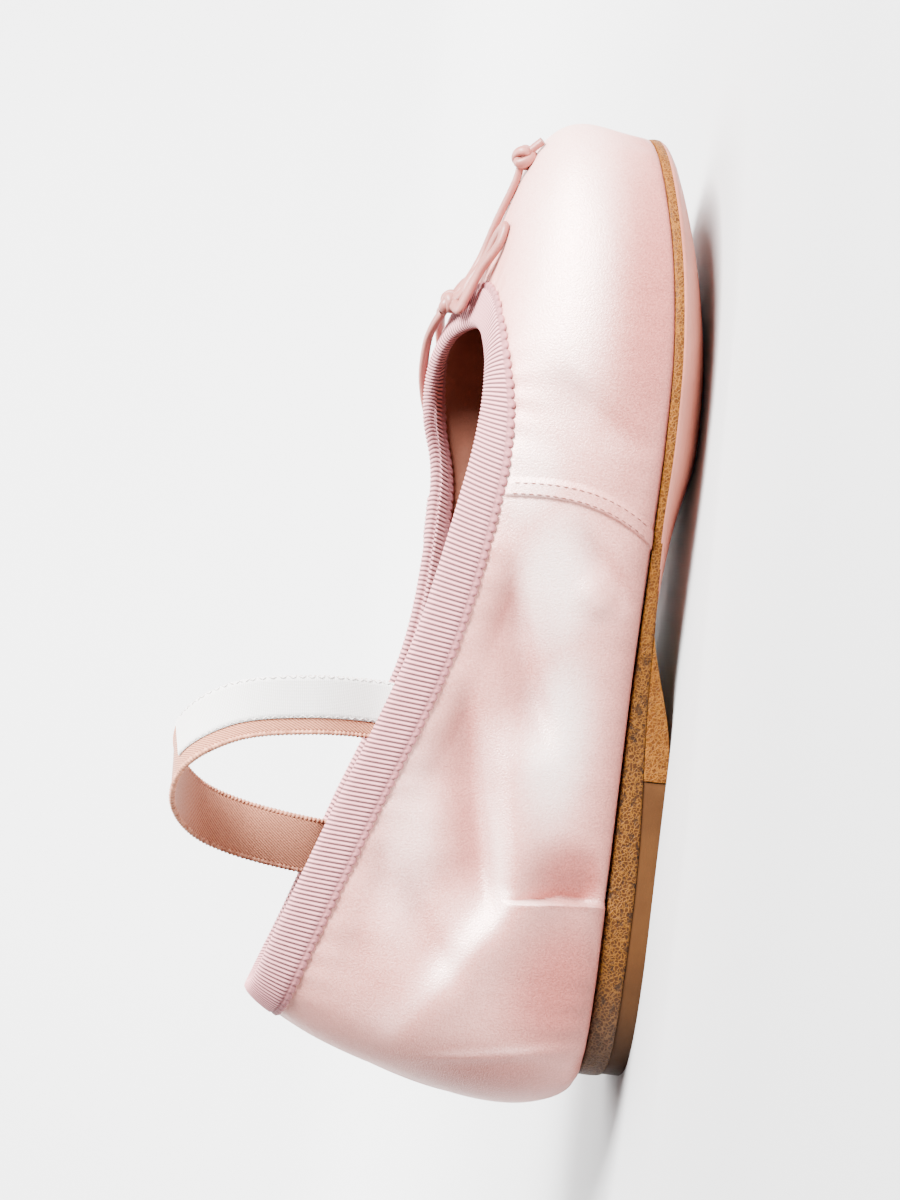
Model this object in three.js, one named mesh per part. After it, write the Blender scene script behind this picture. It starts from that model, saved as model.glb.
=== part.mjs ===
// Ballet flat for a right foot: a soft satin upper on a thin leather sole with a low heel.
// Millimetres. +X runs to the toe, +Y to the inside of the foot, +Z up, and the floor is Z = 0.
import * as THREE from "three";

// Driving sizes
const LENGTH = 240;
const BALL_HALF = 39;
const BACK_HEIGHT = 92;
const SEAT_HEIGHT = 10.7;
const TOE_SPRING = 7.2;
const SPRING_FROM = 0.69;
const ARCH_LIFT = 3;
const ARCH_AT = 0.47;
const ARCH_REACH = 0.19;
const GAP = 0.3;

// Upper
const WALL = 1.6;
const MARGIN = 8;
const BULGE_SKEW = 0.8;
const BULGE_SHARP = 1.3;
const SEAM_HALF = 1.7;
const SEAM_EDGE = 0.3;
const SEAM_RISE = 0.5;

// Ribbon binding
const RIBBON = 0.7;
const RIBBON_OUTSIDE = 10;
const RIBBON_INSIDE = 7.5;
const RIBBON_GAP = 0.6;

// Heel layers and insole
const LIFT_END = 0.342;
const BREAST_FROM = 0.358;
const BREAST_TO = 0.517;
const BREAST_END = 0.468;
const HEEL_INSET = 0.5;
const INSOLE = 1.6;

// Strap and its label
const STRAP_WIDTH = 14;
const STRAP_THICK = 1.4;
const STRAP_TUCK = 14;
const STRAP_SLACK = 2.3;
const LABEL_WIDTH = 9.5;
const LABEL_SHIFT = 1.5;
const LABEL_THICK = 0.5;
const LABEL_FROM = 0.168;
const LABEL_TO = 0.47;

// Bow cord, a flat folded strip
const CORD_WIDE = 3.2;
const CORD_THICK = 2.2;
const TAIL_WIDE = 2.6;
const TAIL_THICK = 2;
const TAIL_KNOT = 3.1;

// Sole outline and depth, one row a section. Along is a share of the length, lateral and medial are shares
// of half the ball width, dish is how far the middle hangs below the edge and thick is the leather, in mm.
const SOLE_ROWS = [
  { at: "heel back", along: 0.036, lateral: 0.0, medial: 0.0, dish: 0.0, thick: 6.2 },
  { at: "heel corner", along: 0.06, lateral: -0.45, medial: 0.45, dish: 0.0, thick: 6.2 },
  { at: "heel side", along: 0.14, lateral: -0.655, medial: 0.655, dish: 0.0, thick: 6.2 },
  { at: "quarter", along: 0.267, lateral: -0.69, medial: 0.655, dish: 0.0, thick: 6.2 },
  { at: "waist", along: 0.425, lateral: -0.73, medial: 0.55, dish: 0.1, thick: 4.0 },
  { at: "seam", along: 0.579, lateral: -0.86, medial: 0.655, dish: 5.0, thick: 2.6 },
  { at: "ball back", along: 0.675, lateral: -0.935, medial: 0.845, dish: 9.0, thick: 3.0 },
  { at: "ball", along: 0.771, lateral: -0.925, medial: 0.95, dish: 8.7, thick: 3.0 },
  { at: "toe side", along: 0.871, lateral: -0.745, medial: 0.9, dish: 6.4, thick: 3.0 },
  { at: "toe corner", along: 0.96, lateral: -0.36, medial: 0.615, dish: 3.0, thick: 3.0 },
  { at: "toe tip", along: 0.991, lateral: 0.128, medial: 0.128, dish: 0.0, thick: 2.8 },
];

// Collar edge at the same sections. Rise is a share of the back height, lateral then medial: the soft throat
// stands higher on the medial side, and the quarter lower.
const COLLAR_ROWS = [
  { along: 0.092, lateral: 0, medial: 0, rise: [1, 1] },
  { along: 0.107, lateral: -0.35, medial: 0.35, rise: [0.99, 0.972] },
  { along: 0.167, lateral: -0.55, medial: 0.55, rise: [0.946, 0.908] },
  { along: 0.28, lateral: -0.665, medial: 0.65, rise: [0.848, 0.806] },
  { along: 0.446, lateral: -0.745, medial: 0.735, rise: [0.7, 0.66] },
  { along: 0.612, lateral: -0.705, medial: 0.73, rise: [0.61, 0.632] },
  { along: 0.688, lateral: -0.577, medial: 0.628, rise: [0.578, 0.676] },
  { along: 0.737, lateral: -0.41, medial: 0.487, rise: [0.572, 0.682] },
  { along: 0.767, lateral: -0.23, medial: 0.333, rise: [0.58, 0.66] },
  { along: 0.779, lateral: -0.077, medial: 0.192, rise: [0.589, 0.63] },
  { along: 0.783, lateral: 0.056, medial: 0.056, rise: [0.602, 0.602] },
];

// Wall shape at the same sections. Upright is the share of the height that stands as a wall before the roof,
// square is the corner, where small is boxy, and bulge is in mm, lateral then medial.
const WALL_ROWS = [
  { upright: 1, square: 2, bulge: [12.2, 12.2] },
  { upright: 1, square: 2, bulge: [9.4, 9.4] },
  { upright: 1, square: 2, bulge: [5.6, 5.6] },
  { upright: 1, square: 2, bulge: [3.8, 4.6] },
  { upright: 1, square: 1.9, bulge: [3.4, 4.4] },
  { upright: 1, square: 1.6, bulge: [3.4, 4.8] },
  { upright: 0.97, square: 1.35, bulge: [3.2, 3.6] },
  { upright: 0.92, square: 1.02, bulge: [3, 3] },
  { upright: 0.83, square: 0.76, bulge: [3, 3] },
  { upright: 0.75, square: 0.58, bulge: [3.8, 3.8] },
  { upright: 0.73, square: 0.52, bulge: [4, 4.2] },
];

const ORIGIN = new THREE.Vector3(LENGTH / 2, 0.2, 0);
const LAST_ROW = SOLE_ROWS.length - 1;
const RIBS = LAST_ROW * 2;
const SEAM_ROW = 5;
const COLUMNS = 64;
const UP = new THREE.Vector3(0, 0, 1);

// Small helpers
const clamp01 = (value) => Math.min(1, Math.max(0, value));
const smooth = (value) => clamp01(value) ** 2 * (3 - 2 * clamp01(value));
const mix = (from, to, share) => from + (to - from) * share;
const steps = (count) => Array.from({ length: count + 1 }, (_, index) => index / count);

// Closed curve through the sections: heel back, lateral side, toe tip, medial side
function aroundShoe(pointOf) {
  const points = [];
  for (let row = 0; row <= LAST_ROW; row += 1) {
    points.push(pointOf(row, "lateral"));
  }
  for (let row = LAST_ROW - 1; row >= 1; row -= 1) {
    points.push(pointOf(row, "medial"));
  }
  return new THREE.CatmullRomCurve3(points, true, "catmullrom", 0.5);
}

const wrap = (around) => around - Math.floor(around);

function edgeHeight(along, side) {
  const spring = clamp01((along - SPRING_FROM) / (1 - SPRING_FROM)) ** 2;
  const arch = Math.cos((clamp01(Math.abs(along - ARCH_AT) / ARCH_REACH) * Math.PI) / 2) ** 2;
  return SEAT_HEIGHT + TOE_SPRING * spring + (side === "medial" ? ARCH_LIFT * arch : 0);
}

const featherCurve = aroundShoe((row, side) => {
  const section = SOLE_ROWS[row];
  return new THREE.Vector3(section.along * LENGTH, section[side] * BALL_HALF, edgeHeight(section.along, side));
});

const collarCurve = aroundShoe((row, side) => {
  const section = COLLAR_ROWS[row];
  const rise = section.rise[side === "lateral" ? 0 : 1];
  return new THREE.Vector3(section.along * LENGTH, section[side] * BALL_HALF, rise * BACK_HEIGHT);
});

const wallCurve = aroundShoe((row, side) => {
  const section = WALL_ROWS[row];
  return new THREE.Vector3(section.upright, section.square, section.bulge[side === "lateral" ? 0 : 1]);
});

const soleCurve = aroundShoe((row) => new THREE.Vector3(SOLE_ROWS[row].dish, SOLE_ROWS[row].thick, 0));

const feather = (around) => featherCurve.getPoint(wrap(around));

// Level direction out of the shoe, square to the sole outline
function outward(around) {
  const run = feather(around + 0.002).sub(feather(around - 0.002));
  return new THREE.Vector3(run.y, -run.x, 0).normalize();
}

// One rib of the upper, from the sole edge up to the collar, as points and the lengths to them
const RIB_STEPS = 60;
const ribStore = new Map();

function rib(around) {
  const key = wrap(around).toFixed(7);
  if (ribStore.has(key)) {
    return ribStore.get(key);
  }
  const foot = feather(around);
  foot.z += GAP;
  const top = collarCurve.getPoint(wrap(around));
  const shape = wallCurve.getPoint(wrap(around));
  const out = outward(around);
  const height = top.z - foot.z;
  const points = [];
  const lengths = [0];
  for (const share of steps(RIB_STEPS)) {
    const turn = (share * Math.PI) / 2;
    const inShare = 1 - Math.max(0, Math.cos(turn)) ** shape.y;
    const upShare = Math.sin(turn) ** shape.y;
    const bump = Math.max(0, Math.sin(Math.PI * share ** BULGE_SKEW)) ** BULGE_SHARP;
    const point = new THREE.Vector3(
      mix(foot.x, top.x, inShare) + out.x * shape.z * bump,
      mix(foot.y, top.y, inShare) + out.y * shape.z * bump,
      foot.z + height * (shape.x * upShare + (1 - shape.x) * inShare),
    );
    if (points.length > 0) {
      lengths.push(lengths[lengths.length - 1] + point.distanceTo(points[points.length - 1]));
    }
    points.push(point);
  }
  const made = { points, lengths, length: lengths[lengths.length - 1] };
  ribStore.set(key, made);
  return made;
}

// Point on the upper's outer face, so far below the collar along its rib
function onUpper(around, below) {
  const { points, lengths, length } = rib(around);
  const target = length - below;
  let next = 1;
  while (next < RIB_STEPS && lengths[next] < target) {
    next += 1;
  }
  const share = (target - lengths[next - 1]) / (lengths[next] - lengths[next - 1]);
  return points[next - 1].clone().lerp(points[next], share);
}

function faceNormal(around, below) {
  const run = onUpper(around + 0.002, below).sub(onUpper(around - 0.002, below));
  const rise = onUpper(around, below - 0.5).sub(onUpper(around, below + 0.5));
  return run.cross(rise).normalize();
}

const offUpper = (around, below, off) => onUpper(around, below).addScaledVector(faceNormal(around, below), off);

// Where a section of the sole lies, from its place along the length
function sectionAt(x) {
  let low = 0;
  let high = 0.5;
  for (let pass = 0; pass < 40; pass += 1) {
    const middle = (low + high) / 2;
    if (feather(middle).x < x) {
      low = middle;
    } else {
      high = middle;
    }
  }
  return (low + high) / 2;
}

// Top and bottom of the outsole in one section, by the share of the way across
function soleTop(section, across) {
  const bow = 1 - Math.abs(2 * across - 1) ** 2.2;
  const edge = mix(feather(section).z, feather(1 - section).z, across);
  return edge - soleCurve.getPoint(section).x * bow;
}

function soleBottom(section, across) {
  return Math.max(0, soleTop(section, across) - soleCurve.getPoint(section).y);
}

function soleTopUnder(point) {
  const section = sectionAt(point.x);
  const lateral = feather(section).y;
  const medial = feather(1 - section).y;
  return soleTop(section, clamp01((point.y - lateral) / Math.max(medial - lateral, 1e-6)));
}

// Closed mesh from corner points, with shared corners merged and faces turned outward
const shoe = new THREE.Group();
shoe.name = "ballet_flat";

function addSolid(name, triangles, finish) {
  const found = new Map();
  const corners = [];
  const indices = [];
  const indexOf = (point) => {
    const key = [point.x, point.y, point.z].map((value) => value.toFixed(3)).join(",");
    if (!found.has(key)) {
      found.set(key, corners.length);
      corners.push(point);
    }
    return found.get(key);
  };
  let volume = 0;
  for (const [first, second, third] of triangles) {
    const face = [indexOf(first), indexOf(second), indexOf(third)];
    if (new Set(face).size === 3) {
      indices.push(face);
      volume += first.dot(second.clone().cross(third));
    }
  }
  const facing = volume < 0 ? indices.map(([a, b, c]) => [a, c, b]) : indices;
  const positions = corners.flatMap((point) => point.clone().sub(ORIGIN).toArray());
  const geometry = new THREE.BufferGeometry();
  geometry.setAttribute("position", new THREE.Float32BufferAttribute(positions, 3));
  geometry.setIndex(facing.flat());
  geometry.computeVertexNormals();
  const mesh = new THREE.Mesh(geometry, new THREE.MeshStandardMaterial(finish));
  mesh.name = name;
  shoe.add(mesh);
}

// Triangles between neighbouring rows of points
function skin(rows, { closeRows = false, closeColumns = false } = {}) {
  const triangles = [];
  const rowCount = rows.length;
  const columnCount = rows[0].length;
  for (let row = 0; row < (closeRows ? rowCount : rowCount - 1); row += 1) {
    for (let column = 0; column < (closeColumns ? columnCount : columnCount - 1); column += 1) {
      const here = rows[row];
      const next = rows[(row + 1) % rowCount];
      const beside = (column + 1) % columnCount;
      triangles.push([here[column], next[column], next[beside]]);
      triangles.push([here[column], next[beside], here[beside]]);
    }
  }
  return triangles;
}

// Ring that runs round the whole shoe, from the closed profile at each column
function ringSolid(columns, profileAt) {
  return skin(columns.map(profileAt), { closeRows: true, closeColumns: true });
}

// Rod from closed rings along an open path, with a fan on each end
function rodSolid(rings) {
  const fan = (ring, back) => {
    const middle = ring.reduce((sum, point) => sum.add(point), new THREE.Vector3()).divideScalar(ring.length);
    return ring.map((point, index) => {
      const beside = ring[(index + 1) % ring.length];
      return back ? [middle, point, beside] : [middle, beside, point];
    });
  };
  return [
    ...skin(rings, { closeColumns: true }),
    ...fan(rings[0], true),
    ...fan(rings[rings.length - 1], false),
  ];
}

// Sole layer between two sections, inset from the outline, with a top and a bottom height for each point
function layerSolid({ from, to, rows, across, inset, topAt, bottomAt }) {
  const grid = (heightAt) =>
    steps(rows).map((share) => {
      const section = mix(from, to, share);
      const lateral = feather(section).addScaledVector(outward(section), -inset);
      const medial = feather(1 - section).addScaledVector(outward(1 - section), -inset);
      return steps(across).map((part) => {
        const point = lateral.clone().lerp(medial, part);
        point.z = heightAt(section, part, point);
        return point;
      });
    });
  const top = grid(topAt);
  const bottom = grid(bottomAt);
  const flip = (triangles) => triangles.map(([a, b, c]) => [a, c, b]);
  const sides = (pick) => skin([top.map(pick), bottom.map(pick)]);
  return [
    ...skin(top),
    ...flip(skin(bottom)),
    ...sides((row) => row[0]),
    ...flip(sides((row) => row[row.length - 1])),
    ...flip(skin([top[0], bottom[0]])),
    ...skin([top[rows], bottom[rows]]),
  ];
}

// Finishes
const SATIN = { color: 0xe9cfc9, roughness: 0.42, metalness: 0 };
const RIBBON_CLOTH = { color: 0xd9bcc4, roughness: 0.75, metalness: 0 };
const SOLE_LEATHER = { color: 0xc1925a, roughness: 0.65, metalness: 0 };
const HEEL_RUBBER = { color: 0x8a6440, roughness: 0.7, metalness: 0 };
const SOCK = { color: 0xc9a58c, roughness: 0.7, metalness: 0 };
const ELASTIC = { color: 0xb98f78, roughness: 0.85, metalness: 0 };
const TAPE = { color: 0xe6e4e2, roughness: 0.8, metalness: 0 };
const CORD = { color: 0xcfa199, roughness: 0.6, metalness: 0 };

// Columns round the shoe: even ones, and four more at each side seam for its raised lap
const seamPlaces = [SEAM_ROW / RIBS, 1 - SEAM_ROW / RIBS];

function alongCollarPerShare(around) {
  return onUpper(around + 0.002, 20).distanceTo(onUpper(around - 0.002, 20)) / 0.004;
}

const lapColumns = seamPlaces.flatMap((place) => {
  const perMillimetre = 1 / alongCollarPerShare(place);
  const edges = [SEAM_HALF, SEAM_HALF + SEAM_EDGE];
  return edges.flatMap((edge) => [place - edge * perMillimetre, place + edge * perMillimetre]);
});
const evenColumns = steps(COLUMNS).slice(0, COLUMNS);
const upperColumns = [...evenColumns, ...lapColumns].sort((a, b) => a - b);

// Height of the lapped seam above the wall
function lapRise(around, below) {
  if (below < RIBBON_OUTSIDE + 1) {
    return 0;
  }
  const nearest = seamPlaces
    .map((place) => Math.abs(around - place) * alongCollarPerShare(place))
    .reduce((a, b) => Math.min(a, b));
  return nearest < SEAM_HALF + SEAM_EDGE / 2 ? SEAM_RISE : 0;
}

// Upper: outer face, lasting margin turned in under the foot, inner face
const BODY_ROWS = 8;

function upperProfile(around) {
  const length = rib(around).length;
  const ribbonFoot = RIBBON_OUTSIDE + 0.6;
  const belows = [0, RIBBON_OUTSIDE / 2, ribbonFoot];
  for (const share of steps(BODY_ROWS).slice(1)) {
    belows.push(mix(ribbonFoot, length, share));
  }
  const outer = belows.map((below) => offUpper(around, below, lapRise(around, below)));
  outer[outer.length - 1] = onUpper(around, length);
  const inner = belows.slice(0, -1).map((below) => offUpper(around, below, -WALL));
  const out = outward(around);
  const foot = feather(around);
  const turned = [MARGIN, MARGIN / 2].map((inset) => {
    const point = foot.clone().addScaledVector(out, -inset);
    point.z = soleTopUnder(point) + GAP;
    return point;
  });
  const corner = foot.clone().addScaledVector(out, -WALL);
  corner.z = soleTopUnder(corner) + GAP + WALL;
  const raised = turned.map((point) => point.clone().addScaledVector(UP, WALL));
  return [...outer, turned[1], turned[0], raised[0], raised[1], corner, ...inner.reverse()];
}

addSolid("upper", ringSolid(upperColumns, upperProfile), SATIN);

// Ribbon binding: a channel over the collar edge, clear of the wall by the gap
function bindingProfile(around) {
  const near = RIBBON_GAP;
  const far = RIBBON_GAP + RIBBON;
  const outside = [0, RIBBON_OUTSIDE / 2, RIBBON_OUTSIDE];
  const inside = [0, RIBBON_OUTSIDE / 2, RIBBON_INSIDE];
  return [
    ...outside.map((below) => offUpper(around, below, far)).reverse(),
    offUpper(around, -far, 0.2),
    offUpper(around, -far, -WALL - 0.2),
    ...inside.map((below) => offUpper(around, below, -WALL - far)),
    ...inside.map((below) => offUpper(around, below, -WALL - near)).reverse(),
    offUpper(around, -near, -WALL - near),
    offUpper(around, -near, near),
    ...outside.map((below) => offUpper(around, below, near)),
  ];
}

addSolid("topline_binding", ringSolid(upperColumns, bindingProfile), RIBBON_CLOTH);

// Outsole, full length, thin and dished at the forefoot
addSolid(
  "outsole",
  layerSolid({ from: 0, to: 0.5, rows: 40, across: 10, inset: 0, topAt: soleTop, bottomAt: soleBottom }),
  SOLE_LEATHER,
);

// Heel: rubber lift at the rear, leather breast in front of it that curves up into the waist
const underSole = (section, across) => soleBottom(section, across) - GAP;

addSolid(
  "heel_lift",
  layerSolid({
    from: 0,
    to: sectionAt(LIFT_END * LENGTH),
    rows: 14,
    across: 4,
    inset: HEEL_INSET,
    topAt: underSole,
    bottomAt: () => 0,
  }),
  HEEL_RUBBER,
);

const breastCurve = (section, across, point) =>
  (SEAT_HEIGHT - 2.7) * smooth((point.x / LENGTH - BREAST_FROM) / (BREAST_TO - BREAST_FROM));

addSolid(
  "heel_breast",
  layerSolid({
    from: sectionAt(LIFT_END * LENGTH + GAP),
    to: sectionAt(BREAST_END * LENGTH),
    rows: 10,
    across: 4,
    inset: HEEL_INSET,
    topAt: underSole,
    bottomAt: breastCurve,
  }),
  SOLE_LEATHER,
);

// Insole, over the turned-in margin
const insoleBottom = (section, across, point) => soleTopUnder(point) + GAP + WALL + 2 * GAP;

addSolid(
  "insole",
  layerSolid({
    from: 0,
    to: 0.5,
    rows: 32,
    across: 6,
    inset: WALL + 3 * GAP,
    topAt: (section, across, point) => insoleBottom(section, across, point) + INSOLE,
    bottomAt: insoleBottom,
  }),
  SOCK,
);

// Elastic strap: out of the collar on the lateral side, over the instep, back in on the medial side
const strapOff = -(WALL + RIBBON_GAP + RIBBON + STRAP_SLACK + STRAP_THICK / 2);
const strapLateral = { around: 0.1815, off: strapOff };
const strapMedial = { around: 1 - 0.1315, off: strapOff };
const strapTuck = [STRAP_TUCK, STRAP_TUCK / 2, -3];
const strapArch = [
  [91.5, -21.8, 86],
  [88, -18.6, 103],
  [79.5, -8.5, 114],
  [70, 3, 115],
  [62.5, 13, 108.5],
  [58.5, 17.6, 98],
];
const fromArch = ([x, y, z]) => new THREE.Vector3(x, y, z);
const archNormal = ([, y, z]) => new THREE.Vector3(0, y, z - 84).normalize();
const strapPath = new THREE.CatmullRomCurve3(
  [
    ...strapTuck.map((below) => offUpper(strapLateral.around, below, strapLateral.off)),
    ...strapArch.map(fromArch),
    ...strapTuck.map((below) => offUpper(strapMedial.around, below, strapMedial.off)).reverse(),
  ],
  false,
  "centripetal",
);
const strapFacing = new THREE.CatmullRomCurve3([
  ...strapTuck.map((below) => faceNormal(strapLateral.around, below)),
  ...strapArch.map(archNormal),
  ...strapTuck.map((below) => faceNormal(strapMedial.around, below)).reverse(),
]);

function bandRing(share, half, near, far, shift = 0) {
  const middle = strapPath.getPoint(share);
  const run = strapPath.getTangent(share);
  const facing = strapFacing.getPoint(share);
  facing.addScaledVector(run, -facing.dot(run)).normalize();
  const side = run.clone().cross(facing);
  const corners = [
    [-half, near],
    [0, near],
    [half, near],
    [half, far],
    [0, far],
    [-half, far],
  ];
  return corners.map(([across, off]) =>
    middle.clone().addScaledVector(side, across + shift).addScaledVector(facing, off),
  );
}

const strapRings = steps(40).map((share) => bandRing(share, STRAP_WIDTH / 2, -STRAP_THICK / 2, STRAP_THICK / 2));
addSolid("instep_strap", rodSolid(strapRings), ELASTIC);

const labelRings = steps(16).map((part) => {
  const near = STRAP_THICK / 2 + GAP;
  return bandRing(mix(LABEL_FROM, LABEL_TO, part), LABEL_WIDTH / 2, near, near + LABEL_THICK, LABEL_SHIFT);
});
addSolid("strap_label", rodSolid(labelRings), TAPE);

// Bow cords lie on the binding and the vamp. A route is rows of: round the shoe, below the collar, lift.
const overBinding = (below) => (RIBBON_GAP + RIBBON) * (1 - smooth((below - 10.5) / 4));
const restHeight = (below, thick) => overBinding(below) + GAP + thick / 2 + 0.15;

function cordFrame(curve, normals, share) {
  const run = curve.getTangent(share);
  const facing = normals.getPoint(share);
  facing.addScaledVector(run, -facing.dot(run)).normalize();
  return { middle: curve.getPoint(share), facing, side: run.clone().cross(facing) };
}

function ovalRing({ middle, facing, side }, wide, thick) {
  return steps(8)
    .slice(0, 8)
    .map((share) => {
      const turn = share * 2 * Math.PI;
      return middle
        .clone()
        .addScaledVector(side, (wide / 2) * Math.cos(turn))
        .addScaledVector(facing, (thick / 2) * Math.sin(turn));
    });
}

function cordOnUpper(route, thick) {
  const points = route.map(({ around, below, lift }) => offUpper(around, below, restHeight(below, thick) + lift));
  const normals = route.map(({ around, below }) => faceNormal(around, below));
  return {
    curve: new THREE.CatmullRomCurve3(points, false, "centripetal"),
    normals: new THREE.CatmullRomCurve3(normals),
  };
}

function addCord(name, route, count, wide = CORD_WIDE, thick = CORD_THICK) {
  const { curve, normals } = cordOnUpper(route, thick);
  const rings = steps(count).map((share) => ovalRing(cordFrame(curve, normals, share), wide, thick));
  addSolid(name, rodSolid(rings), CORD);
}

const KNOT_AT = 0.555;
const KNOT_BELOW = 5;
const LATERAL_LOOP = [
  { around: 0.521, below: 6.4, lift: 1.0 },
  { around: 0.515, below: 9.5, lift: 0.7 },
  { around: 0.507, below: 15.5, lift: 0.2 },
  { around: 0.489, below: 22, lift: 0 },
  { around: 0.473, below: 24, lift: 0 },
  { around: 0.467, below: 20, lift: 0.1 },
  { around: 0.485, below: 12.5, lift: 0.8 },
  { around: 0.503, below: 4.6, lift: 1.0 },
  { around: 0.514, below: 2.4, lift: 1.0 },
];
const MEDIAL_LOOP = [
  { around: 0.589, below: 6.4, lift: 1.0 },
  { around: 0.605, below: 8.6, lift: 0.6 },
  { around: 0.635, below: 10.6, lift: 0.2 },
  { around: 0.675, below: 11.2, lift: 0.1 },
  { around: 0.7, below: 8.6, lift: 0 },
  { around: 0.698, below: 5, lift: 0 },
  { around: 0.67, below: 3.4, lift: 0.1 },
  { around: 0.625, below: 2.4, lift: 0.5 },
  { around: 0.596, below: 2.2, lift: 1.0 },
];
const LATERAL_TAIL = [
  { around: 0.54, below: 9.4, lift: 0.2 },
  { around: 0.53, below: 17, lift: 0.1 },
  { around: 0.515, below: 26, lift: 0.1 },
  { around: 0.5, below: 36.5, lift: 0.2 },
];
const MEDIAL_TAIL = [
  { around: 0.57, below: 9.4, lift: 0.2 },
  { around: 0.582, below: 16, lift: 0.1 },
  { around: 0.598, below: 23.5, lift: 0.1 },
  { around: 0.608, below: 32, lift: 0.2 },
];

addCord("bow_loop_lateral", LATERAL_LOOP, 22);
addCord("bow_loop_medial", MEDIAL_LOOP, 26);
addCord("bow_tail_lateral", LATERAL_TAIL, 10, TAIL_WIDE, TAIL_THICK);
addCord("bow_tail_medial", MEDIAL_TAIL, 10, TAIL_WIDE, TAIL_THICK);

// Middle knot: a tight wrap across the throat
const knotMiddle = offUpper(KNOT_AT, KNOT_BELOW, RIBBON_GAP + RIBBON + GAP + 2.75);
const knotUp = faceNormal(KNOT_AT, KNOT_BELOW);
const knotRun = onUpper(KNOT_AT + 0.01, KNOT_BELOW).sub(onUpper(KNOT_AT - 0.01, KNOT_BELOW)).normalize();
const knotSide = knotRun.clone().cross(knotUp);
const knotRings = steps(10).map((share) => {
  const reach = mix(-0.96, 0.96, share);
  const size = Math.sqrt(1 - reach * reach);
  const middle = knotMiddle.clone().addScaledVector(knotRun, reach * 3.2);
  return ovalRing({ middle, facing: knotUp, side: knotSide }, 7 * size, 5.4 * size);
});
addSolid("bow_knot", rodSolid(knotRings), CORD);

// End knots: a lump on the cord and the stub past it
function addTailKnot(name, tail, stub) {
  const end = tail[tail.length - 1];
  const route = [
    { around: end.around, below: end.below + 2 * GAP, lift: end.lift },
    { around: mix(end.around, stub.around, 0.5), below: mix(end.below, stub.below, 0.5), lift: 1.8 },
    { around: stub.around, below: stub.below, lift: 0.3 },
  ];
  const { curve, normals } = cordOnUpper(route, TAIL_THICK);
  const rings = steps(12).map((share) => {
    const lump = Math.exp(-(((share - 0.4) / 0.24) ** 2));
    const wide = mix(TAIL_WIDE, TAIL_KNOT * 2, lump);
    const thick = mix(TAIL_THICK, TAIL_KNOT * 1.75, lump);
    return ovalRing(cordFrame(curve, normals, share), wide, thick);
  });
  addSolid(name, rodSolid(rings), CORD);
}

addTailKnot("tail_knot_lateral", LATERAL_TAIL, { around: 0.49, below: 47 });
addTailKnot("tail_knot_medial", MEDIAL_TAIL, { around: 0.613, below: 42.5 });

export default shoe;
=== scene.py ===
# Ballet flat in pale satin: ribbed ribbon, thin leather sole, low heel, elastic strap and a tied cord
import math

import bpy
import numpy as np
from mathutils import Matrix, Vector


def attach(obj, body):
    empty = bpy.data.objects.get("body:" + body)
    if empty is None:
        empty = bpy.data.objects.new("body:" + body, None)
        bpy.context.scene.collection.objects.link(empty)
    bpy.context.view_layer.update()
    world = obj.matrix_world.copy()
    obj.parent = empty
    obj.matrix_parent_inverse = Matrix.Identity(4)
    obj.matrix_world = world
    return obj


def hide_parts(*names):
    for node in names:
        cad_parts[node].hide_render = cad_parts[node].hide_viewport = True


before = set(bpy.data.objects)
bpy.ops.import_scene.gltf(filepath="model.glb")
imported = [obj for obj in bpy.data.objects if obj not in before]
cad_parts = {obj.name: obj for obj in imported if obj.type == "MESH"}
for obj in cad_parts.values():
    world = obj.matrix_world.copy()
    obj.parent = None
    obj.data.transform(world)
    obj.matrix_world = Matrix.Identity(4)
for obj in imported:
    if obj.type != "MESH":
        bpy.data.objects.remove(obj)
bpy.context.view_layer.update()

# Driving sizes in millimetres, as in the part's source: x from the heel to the toe, -y lateral, z up
LENGTH, BALL_HALF, BACK_HEIGHT = 240, 39, 92
SEAT_HEIGHT, TOE_SPRING, SPRING_FROM = 10.7, 7.2, 0.69
ARCH_LIFT, ARCH_AT, ARCH_REACH = 3, 0.47, 0.19
GAP, WALL, BULGE_SKEW, BULGE_SHARP = 0.3, 1.6, 0.8, 1.3
RIBBON_GAP, RIBBON = 0.6, 0.7
LIFT_END, BREAST_FROM, BREAST_TO, BREAST_END, BREAST_RISE, HEEL_INSET = 0.342, 0.358, 0.517, 0.5, 8, 0.5
INSOLE = 1.6
STRAP_WIDTH, STRAP_TUCK = 14, 14
LABEL_WIDTH, LABEL_SHIFT, LABEL_FROM, LABEL_TO = 10, 2.0, 0.14, 0.47
CORD_WIDE, CORD_THICK, TAIL_WIDE, TAIL_THICK = 3.2, 2.2, 2.6, 2.0
ORIGIN = np.array([LENGTH / 2, 0.2, 0])

# Sole sections: along, lateral, medial, dish, thick
SOLE_ROWS = [
    (0.036, 0, 0, 0, 6.2),
    (0.06, -0.45, 0.45, 0, 6.2),
    (0.14, -0.655, 0.655, 0, 6.2),
    (0.267, -0.69, 0.655, 0, 6.2),
    (0.425, -0.73, 0.55, 0.1, 4),
    (0.579, -0.86, 0.655, 5, 2.6),
    (0.675, -0.935, 0.845, 9, 3),
    (0.771, -0.925, 0.95, 8.7, 3),
    (0.871, -0.745, 0.9, 6.4, 3),
    (0.96, -0.36, 0.615, 3, 3),
    (0.991, 0.128, 0.128, 0, 2.8),
]

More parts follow.
